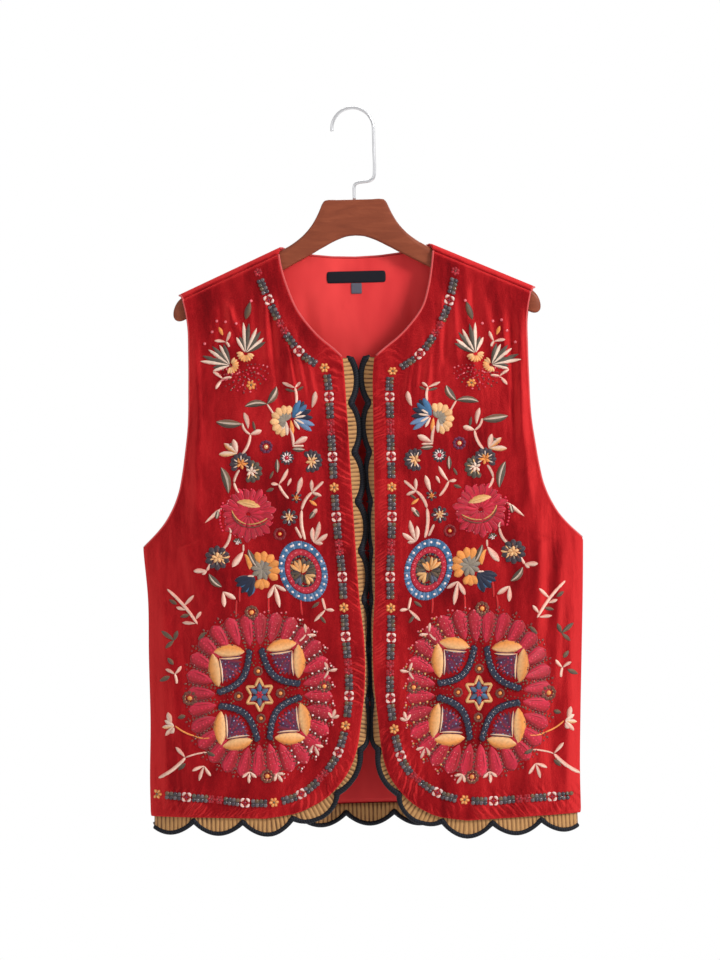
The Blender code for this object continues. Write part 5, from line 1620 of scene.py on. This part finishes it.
def stitch_mesh(side, marks, edge):
    """Points, faces, UV and colours of all stitches at once."""
    rows = np.array(marks)
    start, end, width, bend, shape, height = rows[:, :2], rows[:, 2:4], *rows[:, 4:8].T
    along = end - start
    length = np.linalg.norm(along, axis=1) + 1e-6
    away = np.stack([-along[:, 1], along[:, 0]], axis=1) / length[:, None]
    stations = RING_STEPS + 2
    s = (0.5 - 0.5 * np.cos(math.pi * np.linspace(0.0, 1.0, stations)))[None, :]
    even = shape == EVEN_BAND
    peak = 0.5 + 0.28 * np.where(even, 0.0, shape)[:, None]
    leaf = np.sin(math.pi * np.where(s < peak, s / peak / 2, 0.5 + (s - peak) / (1.0 - peak) / 2)) ** 0.75
    band = (1.0 - np.abs(2.0 * s - 1.0) ** 6.0) ** 0.5 * np.ones_like(leaf)
    profile = np.where(even[:, None], band, leaf)
    profile[:, [0, -1]] = 0.0
    bow = (bend[:, None] * 4 * s * (1 - s))[..., None]
    line = start[:, None] + along[:, None] * s[..., None] + bow * away[:, None]
    forward = np.gradient(line, axis=1)
    forward /= np.linalg.norm(forward, axis=2, keepdims=True)
    across = np.stack([-forward[..., 1], forward[..., 0]], axis=-1)
    angle = np.arange(RING_SIDES) * 2 * math.pi / RING_SIDES
    out = (profile * width[:, None] / 2)[..., None] * np.cos(angle)
    flat = line[:, :, None] + out[..., None] * across[:, :, None]
    lift = np.where(np.sin(angle) > 0, np.sin(angle), 0.45 * np.sin(angle))
    rise = (np.sqrt(profile) * height[:, None])[..., None] * lift + 0.08
    count = len(rows)
    points = on_cloth(side, flat[..., 0], flat[..., 1], rise, edge)
    corner = np.arange(count * stations * RING_SIDES).reshape(count, stations, RING_SIDES)
    corner[:, 0], corner[:, -1] = corner[:, :1, 0], corner[:, -1:, 0]
    after = np.roll(corner, -1, axis=2)
    quads = np.stack([corner[:, 1:-2], after[:, 1:-2], after[:, 2:-1], corner[:, 2:-1]], -1).reshape(-1, 4)
    caps = np.concatenate([
        np.stack([corner[:, 0], after[:, 1], corner[:, 1]], axis=-1).reshape(-1, 3),
        np.stack([corner[:, -1], corner[:, -2], after[:, -2]], axis=-1).reshape(-1, 3)])
    u = np.broadcast_to((s * length[:, None])[..., None], out.shape)
    share = np.clip(0.5 - 1.2 * np.cos(angle), 0.0, 1.0)[None, None, :, None]
    tone = np.random.default_rng(7).uniform(0.84, 1.12, (count, 1, 1, 1))
    colour = (rows[:, None, None, 8:11] * share + rows[:, None, None, 11:14] * (1.0 - share)) * tone
    colour = np.broadcast_to(colour, (*out.shape, 3))
    return points, quads, caps, np.stack([u, out], axis=-1), colour


def merge(points, groups, uv, colour):
    """Drops the points that no face uses and numbers the rest again."""
    used = np.unique(np.concatenate([group.ravel() for group in groups]))
    number = np.zeros(used.max() + 1, int)
    number[used] = np.arange(len(used))
    faces = [face for group in groups for face in number[group].tolist()]
    return points.reshape(-1, 3)[used], faces, uv.reshape(-1, 2)[used], colour.reshape(-1, 3)[used]


def knot_mesh(side, marks, edge):
    """All knots at once: rings of a dome under one top point, and a flat foot in the cloth."""
    rows = np.array(marks)
    radius = rows[:, 2]
    turn = np.arange(KNOT_SIDES) * 2 * math.pi / KNOT_SIDES
    wide, high = KNOT_LEVELS[:, :1], KNOT_LEVELS[:, 1:]
    ring_x, ring_low = wide * np.cos(turn), wide * np.sin(turn)
    x = rows[:, 0, None, None] + radius[:, None, None] * ring_x
    low = rows[:, 1, None, None] + radius[:, None, None] * ring_low
    rise = radius[:, None, None] * KNOT_RISE * np.broadcast_to(high, ring_x.shape)
    points = on_cloth(side, x, low, np.broadcast_to(rise, x.shape), edge)
    tops = on_cloth(side, rows[:, 0], rows[:, 1], radius * KNOT_RISE, edge)
    feet = on_cloth(side, rows[:, 0], rows[:, 1], radius * KNOT_FOOT, edge)
    count, each = len(rows), ring_x.size
    corner = np.arange(count * each).reshape(count, *ring_x.shape)
    after = np.roll(corner, -1, axis=2)
    quads = np.stack([corner[:, :-1], after[:, :-1], after[:, 1:], corner[:, 1:]], axis=-1).reshape(-1, 4)
    top = np.broadcast_to(count * each + np.arange(count)[:, None], (count, KNOT_SIDES))
    caps = np.concatenate([
        np.stack([corner[:, -1], after[:, -1], top], axis=-1).reshape(-1, 3),
        np.stack([after[:, 0], corner[:, 0], top + count], axis=-1).reshape(-1, 3)])
    points = np.concatenate([points.reshape(-1, 3), tops, feet])
    tone = np.random.default_rng(11).uniform(0.85, 1.12, (count, 1))
    colour = rows[:, 3:6] * tone
    colour = np.concatenate([np.repeat(colour, each, axis=0), colour, colour])
    uv = np.concatenate([np.stack([np.tile(ring_x.ravel(), count), np.tile(ring_low.ravel(), count)], -1),
                         np.zeros((2 * count, 2))])
    return points, quads, caps, uv, colour


def add_embroidery(name, made, finish):
    """One piece from a set of marks."""
    points, quads, caps, uv, colour = made
    points, faces, uv, colour = merge(points, (quads, caps), uv, colour)
    colour = np.concatenate([colour, np.ones((len(colour), 1))], axis=1)
    piece = add_piece(name, points, faces, finish, uv, colour)
    return piece


def mark_colour(tree):
    """The colour that each mark carries in its own attribute."""
    tint = tree.nodes.new("ShaderNodeAttribute")
    tint.attribute_name = "thread"
    return tint.outputs["Color"]


thread_finish, tree, shader = new_material(
    "embroidery thread", (0.8, 0.6, 0.5), Roughness=0.5, Sheen_Weight=0.15, Specular_IOR_Level=0.4)
tint = mark_colour(tree)
uneven = noise(tree, object_place(tree), 380.0, 2.0)
shade = colour_steps(tree, uneven, (0.25, (0.80, 0.78, 0.78)), (0.60, (1.0, 1.0, 1.0)))
mixed = add_node(tree, "ShaderNodeVectorMath", [(0, tint), (1, shade)])
mixed.operation = "MULTIPLY"
tree.links.new(mixed.outputs[0], shader.inputs["Base Color"])
floss = along_wave(tree, 0.75, "DIAGONAL")
bump(tree, shader, floss, 0.5, 0.00025)

bead_finish, tree, shader = new_material(
    "beads and knots", (0.8, 0.6, 0.5), Roughness=0.28, Specular_IOR_Level=0.5, Coat_Weight=0.3)
tree.links.new(mark_colour(tree), shader.inputs["Base Color"])
bump(tree, shader, noise(tree, object_place(tree), 1400.0, 1.0), 0.25, 0.0002)

for side, name in SIDES:
    edges, rest = STITCHES[:EDGE_MARKS[0]], STITCHES[EDGE_MARKS[0]:]
    edges = [mark for mark in edges if min(mark[0], mark[2]) > SEAM_AT[side]]
    add_embroidery(f"border_threads_{name}", stitch_mesh(side, edges, True), thread_finish)
    add_embroidery(f"flower_threads_{name}", stitch_mesh(side, rest, False), thread_finish)
    edges, rest = np.array(KNOTS[:EDGE_MARKS[1]]), np.array(KNOTS[EDGE_MARKS[1]:])
    edges = edges[edges[:, 0] > SEAM_AT[side]]
    if side > 0:
        dots = (rest[:, 1] > DOTS_BELOW) & (rest[:, 4] > PALE)
        rest[dots, 3:] = linear(THREADS["gold"])
    add_embroidery(f"border_knots_{name}", knot_mesh(side, edges, True), bead_finish)
    add_embroidery(f"flower_knots_{name}", knot_mesh(side, rest, False), bead_finish)
